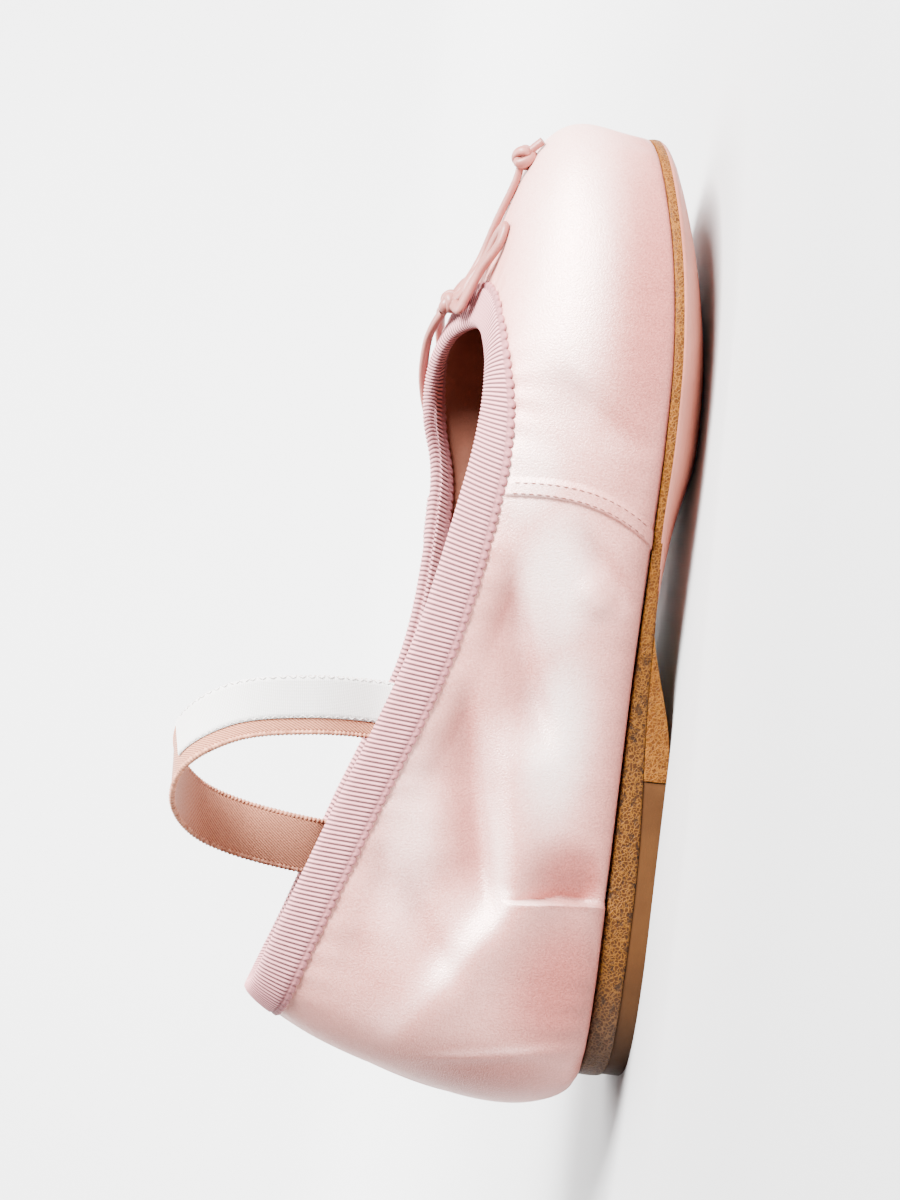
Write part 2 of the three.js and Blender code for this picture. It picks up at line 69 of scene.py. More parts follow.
# Collar and wall: along, lateral, medial, rise on each side, upright, square, bulge on each side
UPPER_ROWS = [
    (0.092, 0, 0, 1, 1, 1, 2, 12.2, 12.2),
    (0.107, -0.35, 0.35, 0.99, 0.972, 1, 2, 9.4, 9.4),
    (0.167, -0.55, 0.55, 0.946, 0.908, 1, 2, 5.6, 5.6),
    (0.28, -0.665, 0.65, 0.848, 0.806, 1, 2, 3.8, 4.6),
    (0.446, -0.745, 0.735, 0.7, 0.66, 1, 1.9, 3.4, 4.4),
    (0.612, -0.705, 0.73, 0.61, 0.632, 1, 1.6, 3.4, 4.8),
    (0.688, -0.577, 0.628, 0.578, 0.676, 0.97, 1.35, 3.2, 3.6),
    (0.737, -0.41, 0.487, 0.572, 0.682, 0.92, 1.02, 3, 3),
    (0.767, -0.23, 0.333, 0.58, 0.66, 0.83, 0.76, 3, 3),
    (0.779, -0.077, 0.192, 0.589, 0.63, 0.75, 0.58, 3.8, 3.8),
    (0.783, 0.056, 0.056, 0.602, 0.602, 0.73, 0.52, 4, 4.2),
]


# Small helpers
def smooth(value):
    value = np.clip(value, 0, 1)
    return value * value * (3 - 2 * value)


def mix(start, end, share):
    return start + (end - start) * share


def unit(vectors):
    return vectors / np.maximum(np.linalg.norm(vectors, axis=-1, keepdims=True), 1e-12)


def square_to(vectors, runs):
    """Unit vectors turned square to the unit runs."""
    return unit(vectors - runs * (vectors * runs).sum(-1, keepdims=True))


def lengths(points, axis=0):
    """Lengths along a line of points, from its first point to each."""
    steps = np.linalg.norm(np.diff(points, axis=axis), axis=-1)
    return np.insert(np.cumsum(steps, axis=axis), 0, 0, axis=axis)


def closed_spline(points):
    """Closed even curve through the points, by a share from 0 to 1."""
    points = np.array(points, float)
    count = len(points)

    def at(share):
        place = (np.asarray(share, float) % 1.0) * count
        index = np.floor(place).astype(int)
        t = (place - index)[..., None]
        a, b, c, d = (points[(index + k) % count] for k in (-1, 0, 1, 2))
        return b + 0.5 * t * ((c - a) + t * ((2 * a - 5 * b + 4 * c - d) + t * (3 * (b - c) + d - a)))

    return at


def open_spline(points):
    """Open centripetal curve through the points, by a share from 0 to 1."""
    points = np.array(points, float)
    last = len(points) - 1
    longer = np.vstack([2 * points[0] - points[1], points, 2 * points[-1] - points[-2]])

    def at(share):
        place = np.clip(np.asarray(share, float), 0, 1) * last
        index = np.minimum(place.astype(int), last - 1)
        t = (place - index)[:, None]
        a, b, c, d = (longer[index + k] for k in range(4))
        spans = (np.linalg.norm(q - p, axis=1)[:, None] for p, q in ((a, b), (b, c), (c, d)))
        gaps = [np.maximum(span, 1e-6) ** 0.5 for span in spans]
        m1 = ((b - a) / gaps[0] - (c - a) / (gaps[0] + gaps[1]) + (c - b) / gaps[1]) * gaps[1]
        m2 = ((c - b) / gaps[1] - (d - b) / (gaps[1] + gaps[2]) + (d - c) / gaps[2]) * gaps[1]
        return b + t * (m1 + t * (3 * (c - b) - 2 * m1 - m2 + t * (2 * (b - c) + m1 + m2)))

    return at


# The shoe's own curves, by the share of the way round: heel back 0, lateral 0.25, toe 0.5, medial 0.75
def around_shoe(rows, point_of):
    """A closed curve through a point for each row on the lateral side, then on the medial one."""
    lateral = [point_of(row, 0) for row in rows]
    return closed_spline(lateral + [point_of(row, 1) for row in rows[-2:0:-1]])


def edge_point(row, medial):
    along = row[0]
    spring = np.clip((along - SPRING_FROM) / (1 - SPRING_FROM), 0, 1) ** 2
    arch = np.cos(np.clip(abs(along - ARCH_AT) / ARCH_REACH, 0, 1) * math.pi / 2) ** 2
    height = SEAT_HEIGHT + TOE_SPRING * spring + ARCH_LIFT * arch * medial
    return along * LENGTH, row[1 + medial] * BALL_HALF, height


def collar_point(row, medial):
    return row[0] * LENGTH, row[1 + medial] * BALL_HALF, row[3 + medial] * BACK_HEIGHT


feather, collar = around_shoe(SOLE_ROWS, edge_point), around_shoe(UPPER_ROWS, collar_point)
wall = around_shoe(UPPER_ROWS, lambda row, medial: (row[5], row[6], row[7 + medial]))
depth = around_shoe(SOLE_ROWS, lambda row, medial: (row[3], row[4], 0))


def outward(around):
    run = feather(around + 0.002) - feather(around - 0.002)
    return unit(np.stack([run[..., 1], -run[..., 0], np.zeros_like(run[..., 0])], axis=-1))


RIB_STEPS = 120


def ribs(around):
    """Ribs of the upper from the sole edge to the collar: their points and the lengths to them."""
    foot, out = feather(around) + (0, 0, GAP), outward(around)
    climb = (collar(around) - foot)[:, None]
    upright, square, bulge = (v[:, None] for v in wall(around).T)
    share = np.linspace(0, 1, RIB_STEPS + 1)
    turn = share * math.pi / 2
    into = 1 - np.maximum(np.cos(turn), 0) ** square
    up = np.sin(turn) ** square
    bump = bulge * np.maximum(np.sin(math.pi * share**BULGE_SKEW), 0) ** BULGE_SHARP
    plan = foot[:, None, :2] + climb[..., :2] * into[..., None] + out[:, None, :2] * bump[..., None]
    rise = foot[:, 2:] + climb[..., 2] * (upright * up + (1 - upright) * into)
    points = np.concatenate([plan, rise[..., None]], axis=2)
    return points, lengths(points, axis=1)


def on_upper(around, below):
    """Points on the outer face, so far below the collar along their ribs: (columns, rows, 3)."""
    around = np.atleast_1d(around)
    below = np.broadcast_to(below, (len(around), np.shape(below)[-1]))
    points, reached = ribs(around)
    target = reached[:, -1:] - below
    found = np.empty(below.shape + (3,))
    for i in range(len(around)):
        k = np.clip(np.searchsorted(reached[i], target[i]), 1, RIB_STEPS)
        share = (target[i] - reached[i, k - 1]) / (reached[i, k] - reached[i, k - 1])
        found[i] = points[i, k - 1] + (points[i, k] - points[i, k - 1]) * share[:, None]
    return found


def face_normal(around, below):
    around = np.atleast_1d(around)
    run = on_upper(around + 0.002, below) - on_upper(around - 0.002, below)
    rise = on_upper(around, below - 0.5) - on_upper(around, below + 0.5)
    return unit(np.cross(run, rise))


def rib_length(around):
    return ribs(np.atleast_1d(around))[1][:, -1]


def off_upper(around, below, off):
    return on_upper(around, below) + face_normal(around, below) * np.asarray(off)[..., None]


# Sole heights under any point
SECTIONS = np.linspace(0, 0.5, 801)
SECTION_X = feather(SECTIONS)[:, 0]


def section_at(x):
    return np.interp(x, SECTION_X, SECTIONS)


def sole_top(x, y):
    section = section_at(x)
    near, far = feather(section), feather(1 - section)
    across = np.clip((y - near[..., 1]) / np.maximum(far[..., 1] - near[..., 1], 1e-6), 0, 1)
    bow = 1 - np.abs(2 * across - 1) ** 2.2
    return mix(near[..., 2], far[..., 2], across) - depth(section)[..., 0] * bow


def sole_bottom(x, y):
    return np.maximum(0, sole_top(x, y) - depth(section_at(x))[..., 1])


def laid(points, height, off=0):
    """The points, set at a height that goes by x and y."""
    points[..., 2] = height(points[..., 0], points[..., 1]) + off
    return points


# Meshes
def linked(name, data):
    thing = bpy.data.objects.new(name, data)
    bpy.context.scene.collection.objects.link(thing)
    return thing


def smooth_mesh(name, points, faces, finishes):
    mesh = bpy.data.meshes.new(name)
    mesh.from_pydata(points, [], faces)
    for finish in finishes:
        mesh.materials.append(finish)
    mesh.polygons.foreach_set("use_smooth", np.ones(len(mesh.polygons), bool))
    return mesh


def add_piece(name, points, faces, finishes, nodes, uv=None, marks=None, face_finish=None):
    """A smooth mesh piece from points in millimetres, riding on the shoe."""
    placed = (np.asarray(points, float).reshape(-1, 3) - ORIGIN) / 1000
    mesh = smooth_mesh(name, placed.tolist(), [list(map(int, f)) for f in faces], finishes)
    if face_finish is not None:
        mesh.polygons.foreach_set("material_index", np.asarray(face_finish, np.int32))
    if uv is not None:
        layer = mesh.uv_layers.new(name="UVMap")
        layer.uv.foreach_set("vector", np.asarray(uv, np.float32).ravel())
    for mark, values in (marks or {}).items():
        layer = mesh.attributes.new(mark, "FLOAT", "POINT")
        layer.data.foreach_set("value", np.asarray(values, np.float32).ravel())
    mesh.update()
    piece = linked(name, mesh)
    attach(piece, "root")
    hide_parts(*nodes)
    return piece


def grid(columns, rows, closed=False, flip=False):
    """Faces of a grid of points, and the column and row of each corner."""
    counts = np.arange(columns - (not closed)), np.arange(rows - 1)
    i, j = (v.ravel() for v in np.meshgrid(*counts, indexing="ij"))
    corners = [(i, j), (i + 1, j), (i + 1, j + 1), (i, j + 1)]
    if flip:
        corners.reverse()
    faces = np.stack([(a % columns) * rows + b for a, b in corners], axis=1)
    return faces, np.stack([np.stack([a, b], axis=1) for a, b in corners], axis=1)


def end_caps(sides, rings):
    """End faces for a closed grid of sides and rings."""
    first = np.arange(sides) * rings
    return [first.tolist(), (first + rings - 1)[::-1].tolist()]


def grid_uv(where, u, v):
    """Corner UVs in metres from a length for each column and a length for each column and row."""
    columns = len(v)
    return np.stack([u[where[..., 0]], v[where[..., 0] % columns, where[..., 1]]], axis=-1) / 1000


def frames_on(curve, facing, share):
    """Points on a curve, and its run, face and side there."""
    run = unit(curve(share + 1e-4) - curve(share - 1e-4))
    face = square_to(facing(share), run)
    return curve(share), run, face, np.cross(run, face)


def add_tube(name, frames, profile, finish, nodes):
    """A tube from a cross profile (around, 2) or (along, around, 2) set on frames along a line."""
    middle, _, face, side = frames
    profile = np.broadcast_to(profile, (len(middle),) + np.shape(profile)[-2:])
    rings = middle[:, None] + side[:, None] * profile[..., :1] + face[:, None] * profile[..., 1:]
    along, around = rings.shape[:2]
    faces, corners = grid(around, along, closed=True)
    girth = lengths(np.vstack([profile[0], profile[0][:1]]))
    uv = np.stack([lengths(middle)[corners[..., 1]], girth[corners[..., 0]]], axis=-1) / 1000
    uv = np.vstack([uv.reshape(-1, 2), np.zeros((2 * around, 2))])
    faces = faces.tolist() + end_caps(around, along)
    return add_piece(name, rings.transpose(1, 0, 2), faces, [finish], nodes, uv)


def flat_band(half, near, far, count):
    """Cross profile of a flat band, from its near face to its far one."""
    spread = np.linspace(-half, half, count)
    return np.stack([np.append(spread, spread[::-1]), np.repeat([near, far], count)], axis=1)


def full_turn(count):
    return np.linspace(0, 2 * math.pi, count, endpoint=False)


def oval(wide, thick, count):
    turn = full_turn(count)
    return np.stack([wide / 2 * np.cos(turn), thick / 2 * np.sin(turn)], axis=1)


# Finishes, built from procedural nodes
class Finish:
    def __init__(self, name, **sockets):
        self.material = bpy.data.materials.new(name)
        self.material.use_nodes = True
        self.tree = self.material.node_tree
        self.shader = self.tree.nodes["Principled BSDF"]
        for socket, value in sockets.items():
            self.shader.inputs[socket.replace("_", " ")].default_value = value

    def node(self, kind, inputs=None, **settings):
        node = self.tree.nodes.new("ShaderNode" + kind)
        for key, value in settings.items():
            setattr(node, key, value)
        for key, value in (inputs or {}).items():
            if isinstance(value, bpy.types.NodeSocket):
                self.tree.links.new(value, node.inputs[key])
            else:
                node.inputs[key].default_value = value
        return node

    def coords(self, kind="Object", scale=(1, 1, 1)):
        vector = self.node("TexCoord").outputs[kind]
        return self.node("Mapping", {"Vector": vector, "Scale": scale}).outputs[0]

    def noise(self, vector, scale, detail, roughness=0.5):
        inputs = {"Vector": vector, "Scale": scale, "Detail": detail, "Roughness": roughness}
        return self.node("TexNoise", inputs).outputs[0]

    def wave(self, vector, scale, direction, distortion=0.0):
        inputs = {"Vector": vector, "Scale": scale, "Distortion": distortion}
        return self.node("TexWave", inputs, wave_type="BANDS", bands_direction=direction).outputs[1]

    def mark(self, name):
        return self.node("Attribute", attribute_name=name, attribute_type="GEOMETRY").outputs["Fac"]

    def math(self, operation, a, b):
        return self.node("Math", {0: a, 1: b}, operation=operation).outputs[0]

    def times(self, a, b):
        return self.math("MULTIPLY", a, b)

    def ramp(self, factor, stops):
        node = self.node("ValToRGB", {0: factor})
        elements = node.color_ramp.elements
        while len(elements) < len(stops):
            elements.new(0.5)
        for element, (place, colour) in zip(elements, stops):
            element.position, element.color = place, colour
        return node.outputs[0]

    def tones(self, factor, low, high):
        return self.ramp(factor, [(0.3, rgb(*low)), (0.7, rgb(*high))])

    def blend(self, factor, a, b, how="MIX"):
        return self.node("Mix", {0: factor, 6: a, 7: b}, data_type="RGBA", blend_type=how).outputs[2]

    def level(self, factor, low, high):
        return self.node("MapRange", {"Value": factor, "To Min": low, "To Max": high}).outputs[0]

    def bump(self, height, distance, strength, over=None):
        inputs = {"Height": height, "Distance": distance, "Strength": strength}
        if over is not None:
            inputs["Normal"] = over
        return self.node("Bump", inputs).outputs[0]

    def give(self, socket, output):
        self.tree.links.new(output, self.shader.inputs[socket])


def rgb(red, green, blue):
    """A screen colour, 0 to 255, as a linear colour."""
    levels = [v / 255 for v in (red, green, blue)]
    return tuple(v / 12.92 if v <= 0.04045 else ((v + 0.055) / 1.055) ** 2.4 for v in levels) + (1.0,)


BLACK, WHITE = (0, 0, 0, 1), (1, 1, 1, 1)


def satin_finish():
    """Satin: paler under painted highlights, deeper pink under painted shade in the hollows, near the sole
    and by the seams, with a fine grain and threads round the shoe.
    """
    f = Finish("satin", IOR=2.0, Specular_Tint=rgb(255, 226, 218), Sheen_Weight=0.08, Sheen_Roughness=0.35,
               Sheen_Tint=rgb(255, 226, 218))
    here = f.coords()
    tone = f.tones(f.noise(here, 26, 3), (213, 141, 131), (223, 155, 145))
    # painted highlight: a pale colour on full places and on slopes turned to the key light
    tone = f.blend(f.mark("painted_highlight"), tone, rgb(252, 226, 220))
    # painted shade: a deep pink in troughs, on slopes turned from the key light, in shade patches and along
    # the sole
    painted_shade = f.mark("painted_shade")
    tone = f.blend(painted_shade, tone, rgb(152, 82, 74))
    # painted shade: a dark brown along the satin's bottom edge by the sole and in the grooves beside the
    # seams
    tone = f.blend(f.mark("painted_edge_shade"), tone, rgb(118, 66, 54))
    grain = f.noise(here, 2100, 2, 0.65)
    speck = f.ramp(grain, [(0.35, rgb(150, 112, 104)), (0.65, rgb(255, 240, 238))])
    f.give("Base Color", f.blend(0.42, tone, speck, "SOFT_LIGHT"))
    f.give("Roughness", f.level(grain, 0.3, 0.46))
    # less specular where the painted shade lies, standing for the folds' shadow
    f.give("Specular IOR Level", f.level(painted_shade, 0.85, 0.3))
    threads = f.noise(f.coords("UV", (900, 5200, 1)), 1, 1)
    f.give("Normal", f.bump(threads, 0.00015, 0.35, f.bump(grain, 0.0003, 0.6)))
    return f.material


def ribbon_finish():
    f = Finish("ribbon", Roughness=0.66, Specular_IOR_Level=0.4, Sheen_Weight=0.12, Sheen_Roughness=0.4,
               Sheen_Tint=rgb(250, 232, 232))
    # rise carries painted shade: darkest in the grooves between the ribs, lightest on their tops, mid-dark on
    # the scallops
    rise = f.mark("rise")
    wear_and_shade = f.times(f.noise(f.coords(), 55, 3), 0.12)
    tone = f.ramp(rise, [(0.4, rgb(60, 28, 33)), (0.72, rgb(160, 95, 99)), (1.0, rgb(222, 154, 157))])
    f.give("Base Color", f.blend(wear_and_shade, tone, rgb(232, 172, 172)))
    threads = f.wave(f.coords("UV"), 1500, "Y", 1.5)
    f.give("Normal", f.bump(threads, 0.00008, 0.35, f.bump(f.noise(f.coords(), 3800, 1), 0.0001, 0.3)))
    return f.material


def leather_finish(name, low, high, grain, strength, rough=(0.45, 0.62), **sockets):
    f = Finish(name, **sockets)
    here = f.coords()
    f.give("Base Color", f.tones(f.noise(here, 60, 4), low, high))
    pores = f.node("TexVoronoi", {"Vector": here, "Scale": grain}).outputs["Distance"]
    f.give("Roughness", f.level(f.noise(here, 240, 3), *rough))
    f.give("Normal", f.bump(pores, 0.00012, strength, f.bump(f.noise(here, 180, 3), 0.0003, 0.25)))
    return f.material


def edge_finish():
    """Cut leather edge: golden fibres netted over brown, with painted shade making it darker and greyer
    towards the back of the heel.
    """
    f = Finish("leather_edge", Specular_IOR_Level=0.15)
    here = f.coords()
    stray = f.node("TexNoise", {"Vector": here, "Scale": 700.0, "Detail": 2.0}).outputs[1]
    pushed = f.node("VectorMath", {0: stray, 1: (0.0012,) * 3, 2: here}, operation="MULTIPLY_ADD").outputs[0]
    cells = f.node("TexVoronoi", {"Vector": pushed, "Scale": 1150.0}, feature="DISTANCE_TO_EDGE")
    net = f.ramp(cells.outputs["Distance"], [(0.03, WHITE), (0.16, BLACK)])
    fibre = f.noise(f.coords("Object", (500, 500, 1300)), 1, 4, 0.7)
    tone = f.ramp(fibre, [(0.3, rgb(58, 28, 1)), (0.5, rgb(88, 46, 1)), (0.7, rgb(114, 65, 4))])
    tone = f.blend(f.times(f.mark("rough"), 0.75), tone, rgb(46, 23, 3))
    tone = f.blend(f.times(net, 0.42), tone, rgb(150, 96, 26))
    dents = f.noise(f.coords("Object", (330, 330, 520)), 1, 3, 0.7)
    pits = f.times(f.ramp(dents, [(0.54, BLACK), (0.64, WHITE)]), f.mark("rough"))
    tone = f.blend(f.times(pits, 0.8), tone, rgb(30, 15, 4))
    # painted shade: a greyer, darker brown for the back of the heel
    wear_and_shade = f.blend(f.times(net, 0.35), rgb(62, 44, 34), rgb(118, 94, 74))
    f.give("Base Color", f.blend(f.mark("painted_back_shade"), tone, wear_and_shade))
    f.give("Roughness", f.level(fibre, 0.42, 0.72))
    f.give("Normal", f.bump(net, 0.00025, 0.5, f.bump(f.math("SUBTRACT", fibre, pits), 0.0003, 0.4)))
    return f.material


def sole_finish():
    f = Finish("sole_bottom", Specular_IOR_Level=0.4)
    here = f.coords()
    tone = f.tones(f.noise(here, 38, 4), (154, 88, 72), (180, 110, 92))
    scuff = f.noise(f.coords("Object", (90, 700, 1)), 1, 4, 0.6)
    rubbed = f.times(f.ramp(scuff, [(0.55, BLACK), (0.8, WHITE)]), 0.35)
    f.give("Base Color", f.blend(rubbed, tone, rgb(116, 66, 52)))
    f.give("Roughness", f.level(scuff, 0.4, 0.6))
    pores = f.node("TexVoronoi", {"Vector": here, "Scale": 1100.0}).outputs["Distance"]
    f.give("Normal", f.bump(pores, 0.0001, 0.25))
    return f.material


def rubber_finish():
    f = Finish("heel_rubber", Specular_IOR_Level=0.15)
    here = f.coords()
    tone = f.tones(f.noise(here, 70, 4), (64, 36, 11), (80, 48, 18))
    # painted shade: a greyer, darker brown towards the back of the heel
    f.give("Base Color", f.blend(f.mark("painted_back_shade"), tone, rgb(50, 33, 21)))
    f.give("Roughness", f.level(f.noise(here, 500, 3), 0.5, 0.75))
    f.give("Normal", f.bump(f.noise(here, 1500, 2), 0.00012, 0.3))
    return f.material


def elastic_finish():
    """Knitted elastic: a fine slanting twill."""
    f = Finish("elastic", Roughness=0.8, Specular_IOR_Level=0.3, Sheen_Weight=0.2, Sheen_Roughness=0.5)
    twill = f.wave(f.coords("UV", (1, 1.6, 1)), 620, "DIAGONAL", 0.6)
    loops = f.noise(f.coords("UV"), 2200, 1)
    knit = f.math("ADD", f.times(twill, 0.6), f.times(loops, 0.6))
    tone = f.ramp(knit, [(0.2, rgb(112, 66, 46)), (0.5, rgb(164, 102, 76)), (0.9, rgb(196, 132, 102))])
    cloudy = f.times(f.noise(f.coords(), 90, 2), 0.25)
    f.give("Base Color", f.blend(cloudy, tone, rgb(150, 94, 72)))
    f.give("Normal", f.bump(knit, 0.00025, 0.6))
    return f.material


def thread_finish(name, low, high):
    f = Finish(name, Roughness=0.7, Specular_IOR_Level=0.3, Sheen_Weight=0.2)
    f.give("Base Color", f.tones(f.noise(f.coords(), 900, 2), low, high))
    f.give("Normal", f.bump(f.noise(f.coords(), 6000, 1), 0.0001, 0.4))
    return f.material


def tape_finish():
    f = Finish("tape", Roughness=0.7, Specular_IOR_Level=0.3, Sheen_Weight=0.15)
    weft = f.wave(f.coords("UV"), 700, "X")
    warp = f.wave(f.coords("UV"), 900, "Y")
    weave = f.times(weft, warp)
    f.give("Base Color", f.ramp(weave, [(0.0, rgb(206, 202, 198)), (1.0, rgb(244, 242, 240))]))
    f.give("Normal", f.bump(weave, 0.0001, 0.4))
    return f.material


SATIN = satin_finish()
RIBBON_CLOTH = ribbon_finish()
# Lining and sock: pinkish-beige leather, coloured a deep brown as painted shade for the inside of the shoe
LINING = leather_finish("lining", (112, 68, 53), (136, 87, 70), 1400, 0.2, Specular_IOR_Level=0.35)
SOCK = leather_finish("sock", (128, 74, 56), (152, 92, 72), 1200, 0.25, Specular_IOR_Level=0.4)
EDGE = edge_finish()
SOLE_PINK = sole_finish()
RUBBER = rubber_finish()
ELASTIC = elastic_finish()
ELASTIC_EDGE = thread_finish("elastic_edge", (150, 92, 68), (214, 148, 118))
TAPE = tape_finish()
CORD = leather_finish("cord_leather", (134, 80, 72), (162, 101, 92), 1500, 0.25, (0.34, 0.5),
                      Specular_IOR_Level=0.5)
# Seam thread coloured dark as painted shade for the stitch holes along the seams
THREAD = thread_finish("satin_thread", (112, 60, 52), (146, 84, 72))
LABEL_THREAD = thread_finish("label_thread", (158, 148, 144), (230, 224, 220))

# Camera: lateral side, a little above, rolled so that the toe points up the picture
EYE_RISE, ROLL = math.radians(6), math.radians(6.5)
TARGET, EYE_DISTANCE, LENS = Vector((0, -0.004, 0.054)), 0.97, 120
ahead = Vector((0, math.cos(EYE_RISE), -math.sin(EYE_RISE)))
level = Vector((1, 0, 0))
above = level.cross(ahead)
up = level * math.cos(ROLL) + above * math.sin(ROLL)
right = level * math.sin(ROLL) - above * math.cos(ROLL)
camera = linked("camera", bpy.data.cameras.new("camera"))
camera.data.lens = LENS
camera.matrix_world = Matrix((right, up, -ahead)).transposed().to_4x4()
camera.location = TARGET - ahead * EYE_DISTANCE
bpy.context.scene.camera = camera

# Bow: cords on the binding and the vamp. A route is rows of: round the shoe, below the collar, lift.
LOOPS = {
    "lateral": [
        (0.521, 6.4, 1), (0.515, 9.5, 0.7), (0.507, 15.5, 0.2), (0.489, 22, 0), (0.473, 24, 0),
        (0.467, 20, 0.1), (0.485, 12.5, 0.8), (0.503, 4.6, 1), (0.514, 2.4, 1),
    ],
    "medial": [
        (0.589, 6.4, 1), (0.605, 8.6, 0.6), (0.635, 10.6, 0.2), (0.675, 11.2, 0.1), (0.7, 8.6, 0),
        (0.698, 5, 0), (0.67, 3.4, 0.1), (0.625, 2.4, 0.5), (0.596, 2.2, 1),
    ],
}
TAILS = {
    "lateral": [
        (0.54, 9.4, 0.2), (0.53, 17, 0.1), (0.515, 26, 0.1), (0.5, 36.5, 0.2), (0.495, 41.7, 1.4),
        (0.49, 47, 0.3),
    ],
    "medial": [
        (0.57, 9.4, 0.2), (0.582, 16, 0.1), (0.598, 23.5, 0.1), (0.608, 32, 0.2), (0.6105, 37.2, 1.4),
        (0.613, 42.5, 0.3),
    ],
}
KNOT_AT, KNOT_BELOW, KNOT_LIFT, INTO_KNOT = 0.555, 5, 2.75, 0.55
KNOT_STEPS, KNOT_SIDES, CORD_STEPS, CORD_SIDES = 180, 16, 24, 20


def pair(function, rows, *more):
    """A surface function at (around, below) pairs."""
    around, below = np.array([r[0] for r in rows]), np.array([r[1] for r in rows])[:, None]
    return function(around, below, *more)[:, 0]


def cord_height(rows, thick):
    below, lift = np.array([r[1] for r in rows]), np.array([r[2] for r in rows])
    over = (RIBBON_GAP + RIBBON) * (1 - smooth((below - 10.5) / 4))
    return (over + GAP + thick / 2 + 0.15 + lift)[:, None]


knot_off = np.array([[RIBBON_GAP + RIBBON + GAP + KNOT_LIFT]])
knot_middle = pair(off_upper, [(KNOT_AT, KNOT_BELOW)], knot_off)[0]
knot_up = pair(face_normal, [(KNOT_AT, KNOT_BELOW)])[0]


def add_cord(name, rows, wide, thick, nodes, far_end):
    """A folded leather cord, grooved where its edges meet, from the knot. A loop ends there too."""
    points = pair(off_upper, rows, cord_height(rows, thick))
    normals = pair(face_normal, rows)
    points = np.vstack([mix(points[0], knot_middle, INTO_KNOT), points])
    normals = np.vstack([normals[:1], normals])
    if far_end == "object":
        points = np.vstack([points, mix(points[-1], knot_middle, INTO_KNOT)])
        normals = np.vstack([normals, normals[-1:]])
    share = np.linspace(0, 1, CORD_STEPS * (len(points) - 1) + 1)
    frames = frames_on(open_spline(points), open_spline(normals), share)
    profile = oval(wide, thick, CORD_SIDES)
    profile[:, 1] -= 0.22 * np.exp(-((profile[:, 0] / 0.35) ** 2)) * (profile[:, 1] > 0)
    piece = add_tube(name, frames, profile, CORD, nodes)


def add_knot(name, centre, axes, ring, waist, thick, squeeze, nodes):
    """A tight knot: a cord that winds three times through its own ring."""
    turn = full_turn(KNOT_STEPS)
    reach = ring + waist * np.cos(3 * turn)
    height = 1.25 * waist * np.sin(3 * turn)
    local = np.stack([reach * np.cos(2 * turn), reach * np.sin(2 * turn), height], axis=1)
    line = centre + (local * squeeze) @ np.array(axes)
    run = unit(np.roll(line, -1, axis=0) - np.roll(line, 1, axis=0))
    face = square_to(unit(line - centre), run)
    side = np.cross(run, face)
    profile = oval(thick * 1.25, thick * 0.95, KNOT_SIDES)
    rings = line[:, None] + side[:, None] * profile[:, :1] + face[:, None] * profile[:, 1:]
    faces, _ = grid(KNOT_STEPS, KNOT_SIDES, closed=True)
    here = np.arange(KNOT_STEPS) * KNOT_SIDES
    there = np.roll(here, -1)
    join = np.stack([here + KNOT_SIDES - 1, there + KNOT_SIDES - 1, there, here], axis=1)
    return add_piece(name, rings, np.concatenate([faces, join]), [CORD], nodes)


def tail_axes(rows):
    points = pair(off_upper, rows, cord_height(rows, TAIL_THICK))
    along = unit(points[-1] - points[-3])
    face = square_to(pair(face_normal, rows)[-2], along)
    return points[-2], (face, np.cross(along, face), along)


END_KNOT = {"ring": 1.35, "waist": 0.85, "thick": 2.2, "squeeze": (0.9, 1.0, 1.7)}
end_knots = {
    side: add_knot("end_knot_" + side, *tail_axes(tail), **END_KNOT, nodes=["tail_knot_" + side])
    for side, tail in TAILS.items()
}
for side, loop in LOOPS.items():
    add_cord("cord_loop_" + side, loop, CORD_WIDE, CORD_THICK, ["bow_loop_" + side], "object")
for side, tail in TAILS.items():
    add_cord("cord_tail_" + side, tail, TAIL_WIDE, TAIL_THICK, ["bow_tail_" + side], "knot")
across = unit(np.diff(on_upper([KNOT_AT - 0.01, KNOT_AT + 0.01], [[KNOT_BELOW]])[:, 0], axis=0)[0])
knot_axes = (np.cross(across, knot_up), across, knot_up)
add_knot("bow_knot_wrap", knot_middle, knot_axes, 1.5, 0.8, 2.3, (1.0, 0.85, 0.95), ["bow_knot"])

# Satin upper: seams, creases and gathers as soft moves of the wall
PERIMETER = np.linspace(0, 1, 2001)
WALL_RUN = lengths(on_upper(PERIMETER, [20.0])[:, 0])
SEAMS, SEAM_BOW = (0.25, 0.75), 7
SATIN_COLUMNS, SATIN_ROWS, SATIN_TOP, MARGIN = 690, 104, 8.5, 3.0
LINING_COLUMNS, LINING_ROWS, LINING_TOP, LINING_FOOT = 220, 36, 3.0, 1.5

